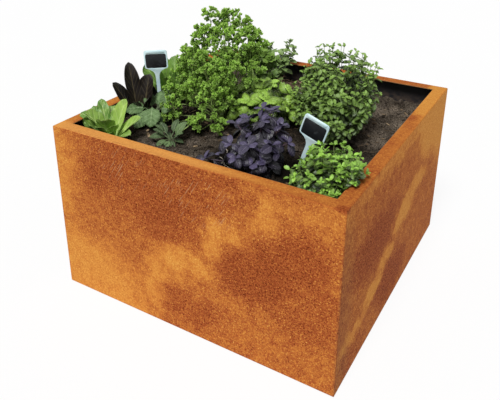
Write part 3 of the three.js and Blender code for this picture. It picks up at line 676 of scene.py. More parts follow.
# Low plants with leaves from one crown, listed as heading, rise, length, pattern, roll, height of the leaf's
# foot and tint. Lengths are in millimetres and tints in hundredths.
lettuceLeaf = dict(plainLeaf, cells=(14, 10), plump=0.42, stalk=0.0, stalkWidth=0.12, fold=0.06, ruffle=0.024, waves=2.6,
                   pucker=0.022, thickness=0.008)
romaineLeaf = dict(plainLeaf, cells=(16, 8), width=0.27, belly=1.45, plump=0.45, stalk=0.0, stalkWidth=0.1, droop=14,
                   fold=0.1, cup=0.35, ruffle=0.012, waves=2.4, pucker=0.014, thickness=0.007)
romaineLook = dict(ribShow=0.5, pairs=8.0, slant=2.2, patch=34.0, bump=0.8)
herbLook = dict(roughness=0.6, patch=90.0, spotty=0.3)
rosettes = {
    "lettuce": dict(
        piece="lettuceLeaves", node="butterhead_lettuce", slot="pale_leaf", at=(-0.806, -0.722), offset=0.012,
        shapes=[
            dict(lettuceLeaf, width=0.46, belly=1.5, stalkWidth=0.16, droop=24, cup=0.3),
            dict(lettuceLeaf, width=0.33, belly=1.5, plump=0.5, droop=8, fold=0.25, cup=0.3, ruffle=0.01),
            dict(lettuceLeaf, width=0.62, belly=1.35, stalkWidth=0.2, droop=40, cup=0.45, waves=3.1),
            dict(lettuceLeaf, width=0.30, belly=1.7, plump=0.46, droop=26, cup=0.2, ruffle=0.02),
        ],
        leaves=[
            (218, 60, 98, 0, -50, 0, 0), (160, 80, 108, 3, -20, 0, 10), (196, 74, 96, 3, -50, 0, 15),
            (126, 72, 90, 2, 0, 0, 45), (46, 74, 116, 1, 44, 0, 100), (20, 46, 104, 1, 26, 0, 85),
            (350, 40, 78, 0, 14, 0, 50), (246, 62, 84, 0, -20, 0, 20), (276, 66, 74, 0, -6, 0, 60),
            (310, 58, 60, 0, 0, 0, 35), (330, 70, 72, 0, 10, 0, 80), (80, 78, 86, 0, 20, 0, 55),
            (290, 84, 80, 2, 10, 4, 90), (232, 78, 92, 2, -24, 4, 50),
        ],
        look=dict(dark="#42701E", light="#B6D66A", rib="#D2E49C", ribWidth=0.1, ribShow=0.5, pairs=5.0, slant=1.6,
                  base=0.6, tip=0.35, tipColour="#6B9634", roughness=0.4, patch=45.0, spotty=0.35, bump=0.7),
    ),
    "redRomaine": dict(
        piece="redRomaineLeaves", node="red_romaine", slot="red_leaf", at=(-0.858, -0.335), offset=0.009,
        shapes=[
            dict(romaineLeaf, twist=-20, droop=4),
            dict(romaineLeaf, width=0.42, belly=1.25, twist=20, droop=8),
            dict(romaineLeaf, width=0.25, twist=-30, droop=4),
        ],
        leaves=[
            (234, 64, 138, 0, -40, 0, 15), (200, 85, 172, 2, -34, 0, 50), (38, 84, 137, 1, 40, 0, 80),
            (300, 68, 78, 0, 0, 0, 20), (80, 78, 112, 0, 20, 0, 30), (350, 72, 90, 1, 24, 0, 40),
            (185, 80, 90, 0, -30, 0, 20), (270, 74, 70, 0, -10, 0, 10),
        ],
        look=dict(romaineLook, dark="#09060A", light="#261F1C", rib="#776B4E", ribWidth=0.06, vein=0.2, base=0.3,
                  roughness=0.36, shine=0.45, spotty=0.45),
    ),
    "greenRomaine": dict(
        piece="greenRomaineLeaves", node="green_romaine", slot="green_leaf", at=(-0.85, 0.06), offset=0.009,
        shapes=[dict(romaineLeaf, width=0.34, twist=-20), dict(romaineLeaf, width=0.40, twist=20, plump=0.5)],
        leaves=[
            (228, 62, 152, 0, -56, 0, 50), (205, 72, 150, 0, -60, 0, 70), (25, 73, 166, 1, 50, 0, 10),
            (350, 58, 124, 1, 20, 0, 60), (120, 76, 140, 0, 0, 0, 30), (285, 72, 110, 1, 0, 0, 80),
            (170, 78, 140, 0, -30, 0, 30), (60, 80, 160, 0, 10, 0, 40), (250, 60, 100, 0, -20, 0, 70),
            (10, 50, 130, 1, 30, 0, 90), (40, 62, 150, 1, 40, 0, 50), (320, 46, 100, 0, 0, 0, 80),
        ],
        look=dict(romaineLook, dark="#34581C", light="#9CC75A", rib="#BDD48A", ribWidth=0.09, base=0.45, roughness=0.42,
                  spotty=0.35),
    ),
    "balm": dict(
        piece="balmHerb", node="lemon_balm", slot="grey_leaf", at=(-0.72, -0.35), offset=0.006, petiole=0.0014,
        shapes=[dict(plainLeaf, cells=(20, 10), width=0.84, belly=0.74, plump=0.62, stalk=0.06, droop=22, cup=-0.1,
                     teeth=0.09, ruffle=0.03, pucker=0.075, veins=6)],
        leaves=[
            (300, -34, 60, 0, 0, 64, 60), (214, 0, 58, 0, -20, 52, 40), (254, -34, 60, 0, -16, 48, 70),
            (84, 44, 52, 0, 24, 54, 80), (2, 10, 34, 0, 40, 54, 45), (146, 46, 44, 0, -10, 48, 30),
            (318, -24, 42, 0, 16, 34, 20), (192, 20, 42, 0, -40, 34, 10), (100, 60, 44, 0, 0, 50, 40),
            (228, -30, 44, 0, -20, 24, 0), (30, 56, 32, 0, 20, 66, 90),
        ],
        look=dict(herbLook, dark="#28401A", light="#809E68", rib="#A4BC8C", ribShow=0.5, pairs=6.0, shine=0.25, bump=1.0),
        stalk=("#4B5C3A", "#8FA077"),
    ),
    "seedling": dict(
        piece="seedlingHerb", node="herb_seedling", slot="grey_leaf", at=(-0.42, -0.56), offset=0.006, petiole=0.0014,
        shapes=[dict(plainLeaf, cells=(14, 6), width=0.48, droop=34, fold=0.3, teeth=0.03, pucker=0.03, thickness=0.016)],
        leaves=[
            (0, 14, 32, 0, 10, 12, 20), (72, 30, 36, 0, 0, 10, 10), (140, 30, 34, 0, 0, 8, 10),
            (212, 10, 44, 0, -24, 20, 40), (244, -12, 38, 0, -10, 14, 70), (318, -6, 30, 0, 10, 12, 30),
            (36, 62, 50, 0, 40, 20, 90), (95, 62, 42, 0, 0, 24, 30), (346, 50, 42, 0, 20, 20, 80),
            (222, 50, 36, 0, -20, 24, 20), (165, 56, 40, 0, -10, 22, 20), (290, -16, 26, 0, 0, 14, 100),
            (275, 10, 22, 0, 0, 10, 90), (200, 50, 28, 0, -10, 34, 50),
        ],
        look=dict(herbLook, dark="#1A2C14", light="#68804F", rib="#9DB08A", ribShow=0.6, pairs=7.0, shine=0.3, bump=0.8),
        stalk=("#4B5C3A", "#8FA077"),
    ),
}


def makeRosettes():
    for name, plan in rosettes.items():
        bm = startMesh()
        crown = crownOf(plan)
        petiole = plan.get("petiole", 0.0)
        patterns = [makePattern(shape) for shape in plan["shapes"]]
        for heading, rise, length, pattern, roll, foot, tint in plan["leaves"]:
            turn = radians(heading)
            foot *= 0.001
            start = crown + Vector((cos(turn), sin(turn), 0)) * (plan["offset"] + foot * 0.35) + up(foot - 0.003)
            if petiole:
                path = curvePath(crown - up(0.008), crown + up(foot * 0.7), start, 4)
                addStem(bm, path, petiole, petiole * 0.6, 0.6)
            place = placed(start, turn, radians(rise), radians(roll), length * 0.001)
            addCopy(bm, patterns[pattern], place, tint * 0.01)
        if not petiole:
            leanOnRim(bm)
        finishPiece(bm, plan["piece"], plantSkins(name, plan), plan["slot"], [plan["node"]])


# Bushes: a stalk to each tuft, twigs through it and leaf clusters on the twigs. Tufts are listed as
# place, radius and half height in millimetres from the crown. The curled parsley is the tallest plant and comes
# in six joined pieces so that each stays small; the flat-leaf parsley stands behind it.
bushes = {
    "parsley": dict(
        node="curly_parsley", at=(-0.31, -0.06), seed=11, parts=6, sharp=80,
        tufts=[
            (-54, 20, 300, 30, 30), (-100, -14, 122, 42, 46), (-30, -40, 176, 50, 50),
            (96, 0, 160, 36, 44), (66, 20, 264, 30, 26), (36, 34, 286, 32, 28), (-62, -8, 244, 42, 40),
            (8, -6, 240, 48, 50), (-56, 46, 110, 38, 44), (-84, 6, 206, 30, 34), (-8, 48, 296, 28, 26),
            (-134, -56, 88, 28, 44), (-126, -30, 130, 28, 34), (-138, -74, 44, 25, 32),
            (-130, -90, 18, 23, 24), (-14, 30, 262, 34, 28), (70, 24, 238, 42, 44),
            (-90, -24, 182, 42, 44), (40, -38, 178, 50, 50), (0, -118, 44, 32, 26), (48, -98, 40, 30, 28),
            (84, 44, 214, 36, 40), (-122, 22, 150, 34, 38), (10, 76, 160, 42, 50), (-112, 24, 76, 30, 32),
            (14, -80, 96, 42, 42), (-56, -66, 104, 42, 42), (44, -66, 104, 38, 42),
            (-96, -50, 84, 36, 36), (20, -64, 132, 44, 40), (-108, -100, 50, 29, 46),
        ],
        twigs=30, bare=4, along=(1.0, 0.78, 0.54), size=(0.0082, 0.0122), stalks=2, stalkSize=0.0022,
        leaf=dict(cells=(2, 7), frills=5, phase=0.4, spread=210, notch=0.26, frill=0.34, cup=0.16, thickness=0.035),
        pointAt=frillPoint, clusters=3, leaves=5, tilt=(0, 65),
        look=dict(dark="#245411", light="#9ECC4C", rib="#B0CC70", ribWidth=0.02, ribShow=0.2, pairs=6.0, vein=0.0, tip=0.5,
                  tipColour="#B0D066", roughness=0.5, patch=110.0, spotty=0.4, bump=0.2),
        stalk=("#6D8A3C", "#A9C071"),
    ),
    "flatParsley": dict(
        node="flat_parsley", at=(-0.285, 0.436), seed=5, parts=1, sharp=50,
        tufts=[
            (-34, -8, 122, 32, 28), (34, -14, 114, 26, 28), (8, 10, 136, 34, 32), (6, -34, 88, 30, 28),
            (30, -30, 70, 30, 26),
        ],
        twigs=16, bare=3, along=(1.0, 0.7), size=(0.020, 0.028), stalks=3, stalkSize=0.0018,
        leaf=dict(plainLeaf, width=0.95, belly=1.2, plump=0.75, stalk=0.16, teeth=0.2, droop=24, fold=0.25, thickness=0.02),
        pointAt=leafPoint, clusters=2, leaves=4, tilt=(5, 40),
        look=dict(dark="#34551A", light="#7EA043", rib="#9DB56A", vein=0.2, bump=0.4),
        stalk=("#5F7B36", "#9CB567"),
    ),
}


def inBox(point, spare):
    edge = planter["half"] - spare
    top = cadBox[1][2] - 0.0005 - spare
    return Vector((clamp(point.x, -edge, edge), clamp(point.y, -edge, edge), min(top, point.z)))


def addTuft(bm, plan, centre, radius, height, clusters, chance):
    foot = centre - up(height * 0.9)
    for twig in range(int(plan["twigs"] * (radius / 0.04) ** 2)):
        aim = Vector((chance.gauss(0, 1), chance.gauss(0, 1), chance.gauss(0.35, 0.9))).normalized()
        reach = Vector((aim.x * radius, aim.y * radius, aim.z * height)) * chance.uniform(0.72, 0.95)
        path = curvePath(foot, foot.lerp(centre, 0.9), centre + reach, 4)
        if twig % plan["bare"] == 0:
            addStem(bm, path, 0.0012, 0.0006, chance.uniform(0.3, 0.9), sides=4)
        for step, back in enumerate(plan["along"]):
            size = chance.uniform(*plan["size"]) * (1 - 0.12 * step)
            jitter = Vector([chance.uniform(-1, 1) for axis in "xyz"]) * size * 0.4
            point = inBox(centre + reach * back + jitter, size)
            turn = (aim + up(0.35) + jitter * 20).normalized().to_track_quat("Z", "Y").to_matrix().to_4x4()
            # painted light and shade in the tint: twigs that point up get lighter leaves, and clusters nearer the
            # tuft's middle get darker ones
            tint = 0.58 + 0.25 * aim.z - 0.34 * step / len(plan["along"]) + chance.uniform(-0.3, 0.3)
            cluster = chance.choice(clusters)
            spin = Matrix.Rotation(chance.uniform(0, 6.28), 4, "Z")
            addCopy(bm, cluster, Matrix.Translation(point) @ turn @ spin @ Matrix.Scale(size, 4), clamp(tint))


def addBush(bm, plan, tufts, clusters, chance):
    crown = crownOf(plan)
    for x, y, z, radius, height in tufts:
        centre = crown + Vector((x, y, z)) * 0.001
        for stalk in range(plan["stalks"]):
            root = crown + Vector((x * 0.12 + chance.uniform(-5, 5), y * 0.12 + chance.uniform(-5, 5), -12)) * 0.001
            lean = crown + Vector((x * 0.35, y * 0.35, z * 0.6)) * 0.001
            path = curvePath(root, lean, centre - up(height * 0.0009), 7)
            addStem(bm, path, plan["stalkSize"], plan["stalkSize"] * 0.6, chance.uniform(0.2, 0.8))
        addTuft(bm, plan, centre, radius * 0.001, height * 0.001, clusters, chance)


def makeBushes():
    for name, plan in bushes.items():
        chance = random.Random(plan["seed"])
        leaf = makePattern(plan["leaf"], plan["pointAt"])
        clusters = [makeCluster(leaf, plan["leaves"], plan["tilt"], chance) for version in range(plan["clusters"])]
        skins = plantSkins(name, plan)
        for part in range(plan["parts"]):
            bm = startMesh()
            addBush(bm, plan, plan["tufts"][part::plan["parts"]], clusters, chance)
            if name == "parsley" and part == 0:
                # a pale stalk that has fallen across the soil towards the young herb
                crown = crownOf(plan)
                bends = [crown + Vector((-0.02, -0.1, 0.045)), crown + Vector((-0.03, -0.15, 0.03))]
                addStem(bm, curvePath(*bends, Vector((-0.158, -0.200, 0.430)), 8), 0.0022, 0.0012, 0.95)
            number = str(part + 1) if plan["parts"] > 1 else ""
            finishPiece(bm, name + "Bush" + number, skins, "green_leaf", [plan["node"]], sharp=plan["sharp"])


# Shoots with leaf pairs, each pair turned a quarter from the one below. The leaves are a little turned
# towards the side that the light comes from. Their tints hold painted shade: "gloom" is the height below which
# leaves near the soil are painted darker, and "shade" paints each lower pair darker than the one above.
plainShoot = dict(whorl=2, turned=0.2, follow=0.5, topRise=40, crownLeaves=3)
smallLeaf = dict(plainLeaf, cells=(5, 2), thickness=0.03)

# Leaning shoots are listed as heading, lean and height in millimetres, tufts and roots as above.
shootPlants = {
    "sweetBasil": dict(
        plainShoot, piece="sweetBasilPlant", node="sweet_basil", slot="pale_leaf", at=(-0.055, 0.02), seed=8,
        leaning=[
            (208, 40, 94), (318, 30, 92), (85, 20, 112), (26, 42, 92), (150, 26, 106), (262, 34, 82),
            (0, 2, 108), (236, 48, 62), (350, 44, 72), (34, 56, 66), (204, 60, 56), (12, 60, 56),
        ],
        shapes=[
            dict(plainLeaf, cells=(14, 8), width=0.72, plump=0.46, droop=80, fold=0.0, cup=-0.5, pucker=0.13),
            dict(plainLeaf, cells=(14, 8), width=0.66, plump=0.5, droop=52, fold=0.22, cup=-0.35, pucker=0.12),
        ],
        pairs=3, spacing=0.020, leafSize=(0.046, 0.058), whorl=3, rise=4, topRise=20, toss=0.36, turned=0.4, gloom=0.08,
        shade=0.4, depth=2.2, stem=0.0028, crownLeaves=5,
        look=dict(dark="#0C2004", light="#B0DC58", rib="#D2E68C", pairs=5.0, roughness=0.4, shine=0.45, bump=1.6,
                  spotty=0.15),
        stalk=("#6E8A44", "#A5BE74"),
    ),
    "purpleBasil": dict(
        plainShoot, piece="purpleBasilPlant", node="purple_basil", slot="purple_leaf", at=(0.258, -0.556), seed=9,
        leaning=[
            (196, 26, 112), (110, 20, 138), (275, 34, 88), (20, 23, 118), (240, 42, 84), (326, 36, 92),
            (150, 28, 108), (64, 14, 144), (0, 3, 128), (215, 22, 78), (300, 36, 72), (258, 54, 60),
            (340, 46, 66), (178, 28, 92), (32, 26, 108), (285, 58, 46), (228, 58, 56), (90, 30, 122),
            (214, 77, 30), (310, 56, 50), (12, 42, 80),
        ],
        roots=[
            (-140, 53, -87, 3, -14, -47), (-105, -29, -65, -53, -23, -65), (-97, -36, -55, -31, -20, -51),
            (-105, 21, -60, -7, -30, -14), (-84, 11, -76, -19, -54, -43), (-120, -11, -84, -21, -68, -49),
        ],
        shapes=[
            dict(plainLeaf, cells=(10, 6), width=0.66, plump=0.46, droop=60, fold=0.1, cup=-0.3, pucker=0.045),
            dict(plainLeaf, cells=(10, 6), width=0.58, plump=0.55, droop=34, fold=0.3, pucker=0.03),
        ],
        pairs=5, spacing=0.0175, leafSize=(0.034, 0.046), rise=-16, topRise=38, toss=0.35, gloom=0.14, shade=0.3,
        depth=2.6, stem=0.0026,
        look=dict(dark="#020102", light="#544C6C", rib="#9A8EA6", pairs=5.0, vein=0.12, roughness=0.42, shine=0.5,
                  bump=1.2, patch=45.0, spotty=0.06),
        stalk=("#2C1E2A", "#6A5462"), root=("#8E8272", "#D8CDBB"),
    ),
    "oregano": dict(
        plainShoot, piece="oreganoBush", node="oregano", slot="green_leaf", at=(0.46, 0.1), seed=31,
        tufts=[
            (-14, 34, 212, 36, 46), (44, 26, 206, 36, 46), (-84, -8, 84, 36, 44), (98, -18, 84, 34, 44),
            (10, -70, 92, 46, 48), (92, 52, 104, 34, 48), (-66, 20, 170, 36, 44), (84, 14, 168, 34, 44),
            (8, -20, 168, 48, 54), (-50, -34, 122, 44, 50), (62, -36, 124, 44, 50),
            (-48, -74, 52, 36, 34), (64, -74, 52, 36, 34), (30, 66, 128, 46, 60), (-42, 64, 112, 42, 54),
            (14, -52, 132, 42, 46), (-30, -4, 190, 32, 40), (-78, -44, 70, 34, 36), (28, -92, 56, 40, 34),
            (-98, -14, 104, 26, 38), (-90, 4, 146, 26, 38), (-62, 48, 200, 20, 50),
        ],
        shoots=7.0, lowest=0.1, highest=0.95,
        shapes=[dict(smallLeaf, width=0.66, plump=0.62, droop=40), dict(smallLeaf, width=0.58, plump=0.66, droop=24, fold=0.4)],
        pairs=6, spacing=0.0135, leafSize=(0.013, 0.020), rise=0, toss=0.4, follow=0.8, gloom=0.12, shade=0.16, depth=1.3,
        stem=0.0013, crownLeaves=2,
        look=dict(dark="#102606", light="#8FB450", rib="#B1C68A", ribWidth=0.06, vein=0.12),
        stalk=("#54683A", "#8D9C68"),
    ),
    "marjoram": dict(
        plainShoot, piece="marjoramBush", node="marjoram", slot="pale_leaf", at=(0.78, -0.7), seed=32,
        tufts=[
            (-40, 20, 90, 32, 34), (8, 34, 94, 32, 34), (-62, -28, 58, 28, 32), (-30, -56, 52, 30, 32),
            (24, -54, 60, 26, 30), (-10, -14, 94, 38, 36), (36, 6, 96, 26, 30), (28, -28, 90, 26, 30),
            (70, -16, 104, 22, 22), (56, -40, 88, 22, 26), (-66, 2, 56, 26, 30), (60, 10, 90, 24, 28),
            (40, -70, 44, 20, 26), (16, -78, 42, 22, 24), (-14, -76, 34, 22, 24),
        ],
        shoots=9.5, lowest=-0.6, highest=0.78,
        shapes=[dict(smallLeaf, width=0.52, plump=0.6, droop=30, fold=0.3),
                dict(smallLeaf, width=0.6, plump=0.56, droop=46, fold=0.16)],
        pairs=4, spacing=0.0115, leafSize=(0.0145, 0.021), rise=6, toss=0.45, follow=0.9, gloom=0.09, shade=0.3, depth=1.7,
        stem=0.0011,
        look=dict(dark="#0A2004", light="#A2D452", rib="#C8E090", ribWidth=0.06, vein=0.1, roughness=0.38, spotty=0.1),
        stalk=("#6B8040", "#A3B675"),
    ),
    "backShoot": dict(
        plainShoot, piece="backShoots", node="back_herb", slot="green_leaf", at=(-0.34, 0.84), seed=9,
        leaning=[
            (180, 16, 118), (20, 14, 138), (250, 14, 84), (110, 8, 96), (30, 26, 100), (330, 30, 80),
            (200, 26, 96), (10, 22, 120), (60, 18, 126), (340, 12, 110),
        ],
        shapes=[dict(plainLeaf, cells=(6, 4), width=0.62, droop=30, fold=0.3, thickness=0.02)],
        pairs=5, spacing=0.018, leafSize=(0.020, 0.030), rise=24, topRise=20, toss=0.3, follow=0.4, gloom=0.03, shade=0.12,
        depth=1.0, stem=0.0018, crownLeaves=2,
        look=dict(dark="#425C28", light="#8CA860", rib="#B4C48E", ribWidth=0.06, vein=0.12, roughness=0.5),
        stalk=("#5A6B3E", "#93A06C"),
    ),
}


def addShoot(bm, plan, path, chance):
    addStem(bm, path, plan["stem"], plan["stem"] * 0.5, chance.uniform(0.2, 0.9), sides=4)
    turn = chance.uniform(0, pi)
    follow = Matrix()
    steps = len(path) - 1
    length = sum((path[step + 1] - path[step]).length for step in range(steps))
    small, large = plan["leafSize"]
    for pair in range(plan["pairs"]):
        share = steps * (1 - pair * plan["spacing"] / length)
        if share < 0.4:
            break
        cell = min(steps - 1, int(share))
        point = path[cell].lerp(path[cell + 1], share - cell)
        along = up(1).lerp((path[cell + 1] - path[cell]).normalized(), plan["follow"])
        follow = up(1).rotation_difference(along).to_matrix().to_4x4()
        # painted shade: leaves within gloom of the soil get a darker tint
        lit = 0.3 + 0.7 * clamp((point.z - planter["soilLevel"]) / plan["gloom"])
        size = small + (large - small) * min(1.0, pair / 2)
        for half in range(plan["whorl"]):
            heading = turn + half * 2 * pi / plan["whorl"] + chance.uniform(-0.25, 0.25)
            away = heading - radians(light["side"])
            tilt = radians(plan["rise"] + (plan["topRise"] if pair == 0 else 0)) + chance.gauss(0, plan["toss"])
            tilt -= plan["turned"] * 0.5 * cos(away)
            roll = plan["turned"] * sin(away) + chance.gauss(0, plan["toss"])
            # painted shade: each lower pair darkens the tint by shade, and depth steepens the dark
            tint = (clamp(1.0 - plan["shade"] * pair + chance.uniform(-0.4, 0.05)) * lit) ** plan["depth"]
            leaf = placed(up(0), heading, tilt, roll, size * chance.uniform(0.8, 1.12))
            addCopy(bm, chance.choice(plan["patterns"]), Matrix.Translation(point) @ follow @ leaf, tint)
        turn += pi / 2 + chance.uniform(-0.2, 0.2)
    for leaf in range(plan["crownLeaves"]):
        leaf = placed(up(0), chance.uniform(0, 6.28), chance.uniform(0.5, 1.1), 0, small * 0.7)
        addCopy(bm, chance.choice(plan["patterns"]), Matrix.Translation(path[-1]) @ follow @ leaf, chance.uniform(0.7, 1.0))


def shootPaths(plan, chance):
    # one at a time, because the draws for a path come before those for its leaves
    crown = crownOf(plan)
    for heading, lean, height in plan.get("leaning", []):
        turn = radians(heading)
        reach = Vector((cos(turn), sin(turn), 0)) * (height * 0.001 * tan(radians(lean)))
        tip = crown + reach + up(height * 0.001)
        yield curvePath(crown - up(0.01), crown + reach * 0.35 + up(height * 0.0006), tip, 6)
    for x, y, z, radius, height in plan.get("tufts", []):
        centre = crown + Vector((x, y, z)) * 0.001
        for shoot in range(int(plan["shoots"] * radius / 30)):
            aim = Vector((chance.gauss(0, 1), chance.gauss(0, 1), 0)).normalized() * chance.uniform(0.15, 0.8) * radius
            rise = height * chance.uniform(plan["lowest"], plan["highest"])
            tip = inBox(centre + Vector((aim.x, aim.y, rise)) * 0.001, 0.012)
            root = crown + Vector((x * 0.18, y * 0.18, -10)) * 0.001
            lean = root.lerp(tip, 0.5) + Vector((x * 0.0002, y * 0.0002, -0.01))
            yield curvePath(root, lean, tip, 6)


def makeShootPlants():
    for name, plan in shootPlants.items():
        bm = startMesh()
        chance = random.Random(plan["seed"])
        plan["patterns"] = [makePattern(shape) for shape in plan["shapes"]]
        for path in shootPaths(plan, chance):
            addShoot(bm, plan, path, chance)
        for root in plan.get("roots", []):
            # bare roots on the soil, listed as three places in millimetres from the crown
            bends = [crownOf(plan) + Vector((root[at], root[at + 1], 8)) * 0.001 for at in (0, 2, 4)]
            bends[1].z += 0.012
            addStem(bm, curvePath(*bends, 7), 0.0012, 0.0007, 1.0, sides=4, material=2)
        if "tufts" in plan:
            leanOnRim(bm)
        finishPiece(bm, plan["piece"], plantSkins(name, plan), plan["slot"], [plan["node"]])


makeRosettes()
print("low plants ready")
makeBushes()
print("parsley ready")
makeShootPlants()
print("herbs ready")


# Potting soil: a rough bed, crumbs and clods, bark chips and dry fibres. The bed and crumbs carry painted shade under
# the plants.
bed = dict(
    cells=170, rough=0.0042, clip=0.0472, crumbs=5200, clods=420, chips=150, fibres=230, seed=3,
    # shade: painted shade of the plants on the bed and crumbs, as place, reach and amount. Minus darkens towards
    # near-black; the plus entry at the back right paints the soil lighter.
    shade=[
        ((0.04, -0.2, 0.43), (0.085, 0.085, 0.1), -0.9), ((0.22, -0.2, 0.43), (0.1, 0.1, 0.1), -0.9),
        ((-0.19, -0.11, 0.43), (0.09, 0.07, 0.1), -0.9), ((0.2, 0.0, 0.43), (0.12, 0.1, 0.1), -0.7),
        ((0.0, 0.03, 0.43), (0.12, 0.12, 0.1), -0.7), ((0.3, -0.27, 0.43), (0.1, 0.1, 0.1), -0.6),
        ((-0.3, -0.14, 0.43), (0.06, 0.1, 0.1), -0.6), ((-0.17, 0.16, 0.43), (0.11, 0.13, 0.1), -0.9),
        ((0.31, 0.2, 0.43), (0.11, 0.18, 0.1), 0.9),
    ],
    shadeShow=0.85, straw=(-0.055, 0.262), strawSpread=0.026, straws=110, litterReach=0.385,
)


def roughSoil(x, y):
    lumps = 0.003 * sin(x / 0.013 + sin(y / 0.047)) * sin(y / 0.013 + sin(x / 0.041))
    return soilHeight(x, y) + lumps + noise.fractal(Vector((x, y, 0)) * 60, 0.9, 2.2, 5) * bed["rough"]


def soilLook(place, dark, pale, scale):
    grain = speckle(place, scale, 1.6)
    share = capped(grain * (tintOf(place) + 0.35) * (mottle(place, 12.0) * 0.7 + 0.35))
    # painted shade: the shade list lowers the pale share, then blends the colour towards near-black #0C0A08
    shade = spots(place, 1.0, bed["shade"])
    shadedSoil = blend(capped(share * shade), dark, pale)
    colour = blend(capped(1.0 - shade) * bed["shadeShow"], shadedSoil, "#0C0A08")
    return colour, ease(grain, 0.0, 1.0, 0.98, 0.8), bump(grain, 0.8, 0.0012)


def makeSoil():
    bm = startMesh()
    half = planter["bedHalf"]
    bmesh.ops.create_grid(bm, x_segments=bed["cells"], y_segments=bed["cells"], size=half, calc_uvs=True)
    for sx, sy in ((1, 1), (-1, 1), (-1, -1), (1, -1)):
        corner = Vector((sx * half, sy * (half - bed["clip"]), 0))
        geometry = bm.verts[:] + bm.edges[:] + bm.faces[:]
        bmesh.ops.bisect_plane(bm, geom=geometry, plane_co=corner, plane_no=Vector((sx, sy, 0)), clear_outer=True)
    layer = bm.verts.layers.float["tint"]
    for vert in bm.verts:
        vert.co.z = roughSoil(vert.co.x, vert.co.y)
        vert[layer] = 0.5
    skirt = bmesh.ops.extrude_edge_only(bm, edges=[edge for edge in bm.edges if edge.is_boundary])["geom"]
    for part in skirt:
        if isinstance(part, bmesh.types.BMVert):
            part.co.z = planter["soilBase"]
    bmesh.ops.edgeloop_fill(bm, edges=[edge for edge in bm.edges if edge.is_boundary])
    bmesh.ops.recalc_face_normals(bm, faces=bm.faces[:])
    skin = makeSkin("soilSkin", soilLook, ("#1C1610", "#877A6B", 260.0), 0.92, 0.0, 0.04)
    finishPiece(bm, "soilBed", [skin], "potting_soil", ["soil"], sharp=80)


def bedPoint(chance, margin=0.012):
    while True:
        x = chance.uniform(-1, 1) * (planter["bedHalf"] - margin)
        y = chance.uniform(-1, 1) * (planter["bedHalf"] - margin)
        if abs(x) + abs(y) < 2 * planter["bedHalf"] - bed["clip"] - 2 * margin:
            return x, y


def makeCrumbs():
    bm = startMesh()
    chance = random.Random(bed["seed"])
    patterns = []
    for divisions in (1, 2):
        ball = startMesh()
        bmesh.ops.create_icosphere(ball, subdivisions=divisions, radius=1.0)
        for vert in ball.verts:
            vert.co *= 1 + 0.3 * noise.noise(vert.co * 2.3 + Vector((divisions, 0, 0)))
        patterns.append(meshFrom(ball, "crumbPattern"))
    for kind, count, low, high in ((0, bed["crumbs"], 0.0012, 0.0042), (1, bed["clods"], 0.004, 0.009)):
        for index in range(count):
            x, y = bedPoint(chance)
            size = low + (high - low) * chance.random() ** 2
            turn = Matrix.Rotation(chance.uniform(0, 6.28), 4, (chance.random(), chance.random(), 0.3 + chance.random()))
            squeeze = Matrix.Diagonal((chance.uniform(0.7, 1.4), chance.uniform(0.7, 1.2), chance.uniform(0.5, 0.9), 1))
            place = Matrix.Translation((x, y, roughSoil(x, y) + size * 0.25)) @ turn @ squeeze @ Matrix.Scale(size, 4)
            addCopy(bm, patterns[kind], place, chance.uniform(0.1, 1.0))
    skin = makeSkin("crumbSkin", soilLook, ("#17120D", "#84776A", 420.0), 0.92, 0.0, 0.04)
    finishPiece(bm, "soilCrumbs", [skin], "potting_soil", sharp=35)


def litterLook(place):
    grain = speckle(vectorCalc("MULTIPLY", place, (1, 0.3, 1)), 500.0)
    share = calc("POWER", tintOf(place), 2.2) * 0.8 + grain * 0.2
    return blend(share, "#3A2A1E", "#B79E7C"), None, bump(grain, 0.5, 0.0005)


def addChips(bm, chance):
    chip = startMesh()
    bmesh.ops.create_cube(chip, size=1.0)
    bmesh.ops.bevel(chip, geom=chip.edges[:], offset=0.12, offset_type="OFFSET", segments=1, profile=0.5, affect="EDGES",
                    material=-1)
    pattern = meshFrom(chip, "chipPattern")
    for index in range(bed["chips"]):
        x, y = bedPoint(chance, 0.02)
        tilt = Matrix.Rotation(chance.uniform(-0.5, 0.5), 4, "X") @ Matrix.Rotation(chance.uniform(-0.4, 0.4), 4, "Y")
        size = [chance.uniform(*span) for span in ((0.006, 0.02), (0.003, 0.007), (0.0012, 0.003))]
        turn = Matrix.Translation((x, y, roughSoil(x, y) + 0.002)) @ Matrix.Rotation(chance.uniform(0, 6.28), 4, "Z")
        addCopy(bm, pattern, turn @ tilt @ Matrix.Diagonal((*size, 1)), chance.random())


def addFibres(bm, chance):
    # dry fibres all over the bed, then a heap of straw
    edge = bed["litterReach"]
    for index in range(bed["fibres"] + bed["straws"]):
        x, y = bedPoint(chance, 0.03)
        heap = 0.0
        if index >= bed["fibres"]:
            x, y = [middle + chance.gauss(0, bed["strawSpread"]) for middle in bed["straw"]]
            heap = chance.uniform(0, 0.016)
        heading = chance.uniform(0, 2 * pi)
        length = chance.uniform(0.012, 0.045)
        bend = chance.uniform(-0.012, 0.012)
        path = []
        for step in range(5):
            t = step / 4
            arch = sin(pi * t)
            px = clamp(x + cos(heading) * length * (t - 0.5) - sin(heading) * bend * arch, -edge, edge)
            py = clamp(y + sin(heading) * length * (t - 0.5) + cos(heading) * bend * arch, -edge, edge)
            path.append(Vector((px, py, roughSoil(px, py) + heap + 0.0012 + 0.003 * arch * chance.random())))
        addStem(bm, path, 0.0005, 0.0003, chance.random(), sides=3, material=0)


def makeLitter():
    bm = startMesh()
    chance = random.Random(bed["seed"] + 1)
    addChips(bm, chance)
    addFibres(bm, chance)
    bmesh.ops.recalc_face_normals(bm, faces=bm.faces[:])
    finishPiece(bm, "soilLitter", [makeSkin("litterSkin", litterLook, (), 0.8, 0.0, 0.2)], "potting_soil", sharp=40)


makeSoil()
makeCrumbs()
makeLitter()
print("soil ready")


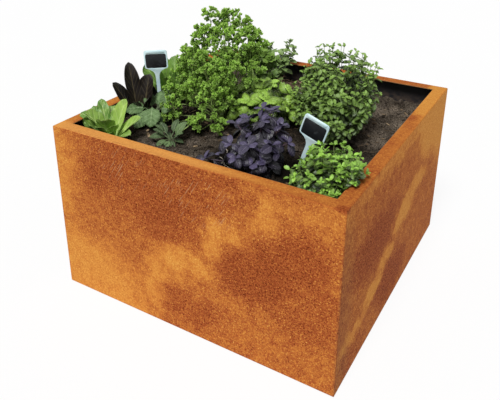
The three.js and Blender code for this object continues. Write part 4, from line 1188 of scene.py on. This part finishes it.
# Plant labels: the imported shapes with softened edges
label = dict(soften=0.0007, softenPanel=0.00028)


def softened(source, amount):
    bm = bmesh.new()
    bm.from_mesh(source.data)
    bmesh.ops.remove_doubles(bm, verts=bm.verts[:], dist=0.00002)
    bmesh.ops.dissolve_limit(bm, angle_limit=radians(1), verts=bm.verts[:], edges=bm.edges[:])
    corners = [edge for edge in bm.edges if edge.is_manifold and edge.calc_face_angle(0) > radians(35)]
    bmesh.ops.bevel(bm, geom=corners, offset=amount, offset_type="OFFSET", segments=2, profile=0.5, affect="EDGES",
                    clamp_overlap=True, material=-1)
    bmesh.ops.recalc_face_normals(bm, faces=bm.faces[:])
    return bm


def mintLook(place):
    cloudy = mottle(place, 30.0)
    lines = scuffs(place, (0.3, 0.5, 0.9), 0.64, 260.0)
    dusty = earthDust(place, 0.412, 0.436, 0.95)
    scraped = blend(lines * 0.25, blend(cloudy, "#D2F0F6", "#E4FAFD"), "#EEF8F7")
    roughness = calc("MAXIMUM", lines, dusty) * 0.35 + 0.32
    return blend(dusty, scraped, "#5B4A3C"), roughness, bump(cloudy, 0.05, 0.0003)


def slateLook(place):
    lines = scuffs(place, (0.2, 0.1, 0.4), 0.62, 180.0)
    grain = speckle(place, 1200.0, 0.7)
    colour = blend(lines * 0.2, blend(mottle(place, 50.0), "#0E1013", "#181B1F"), "#5C6064")
    return colour, ease(grain, 0.0, 1.0, 0.48, 0.64), bump(grain, 0.1, 0.0001)


def makeLabels():
    mint = makeSkin("mintPlastic", mintLook, (), 0.34, 0.0, 0.5)
    slate = makeSkin("writingFace", slateLook, (), 0.55, 0.0, 0.35)
    for side in ("left", "right"):
        body = side + "_label_body"
        stake = softened(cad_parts[side + "_label"], label["soften"])
        finishPiece(stake, side + "LabelPiece", [mint], "label_mint", [side + "_label"], body)
        panel = softened(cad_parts[side + "_label_panel"], label["softenPanel"])
        finishPiece(panel, side + "LabelPanelPiece", [slate], "label_slate", [side + "_label_panel"], body)


makeLabels()
print("labels ready")
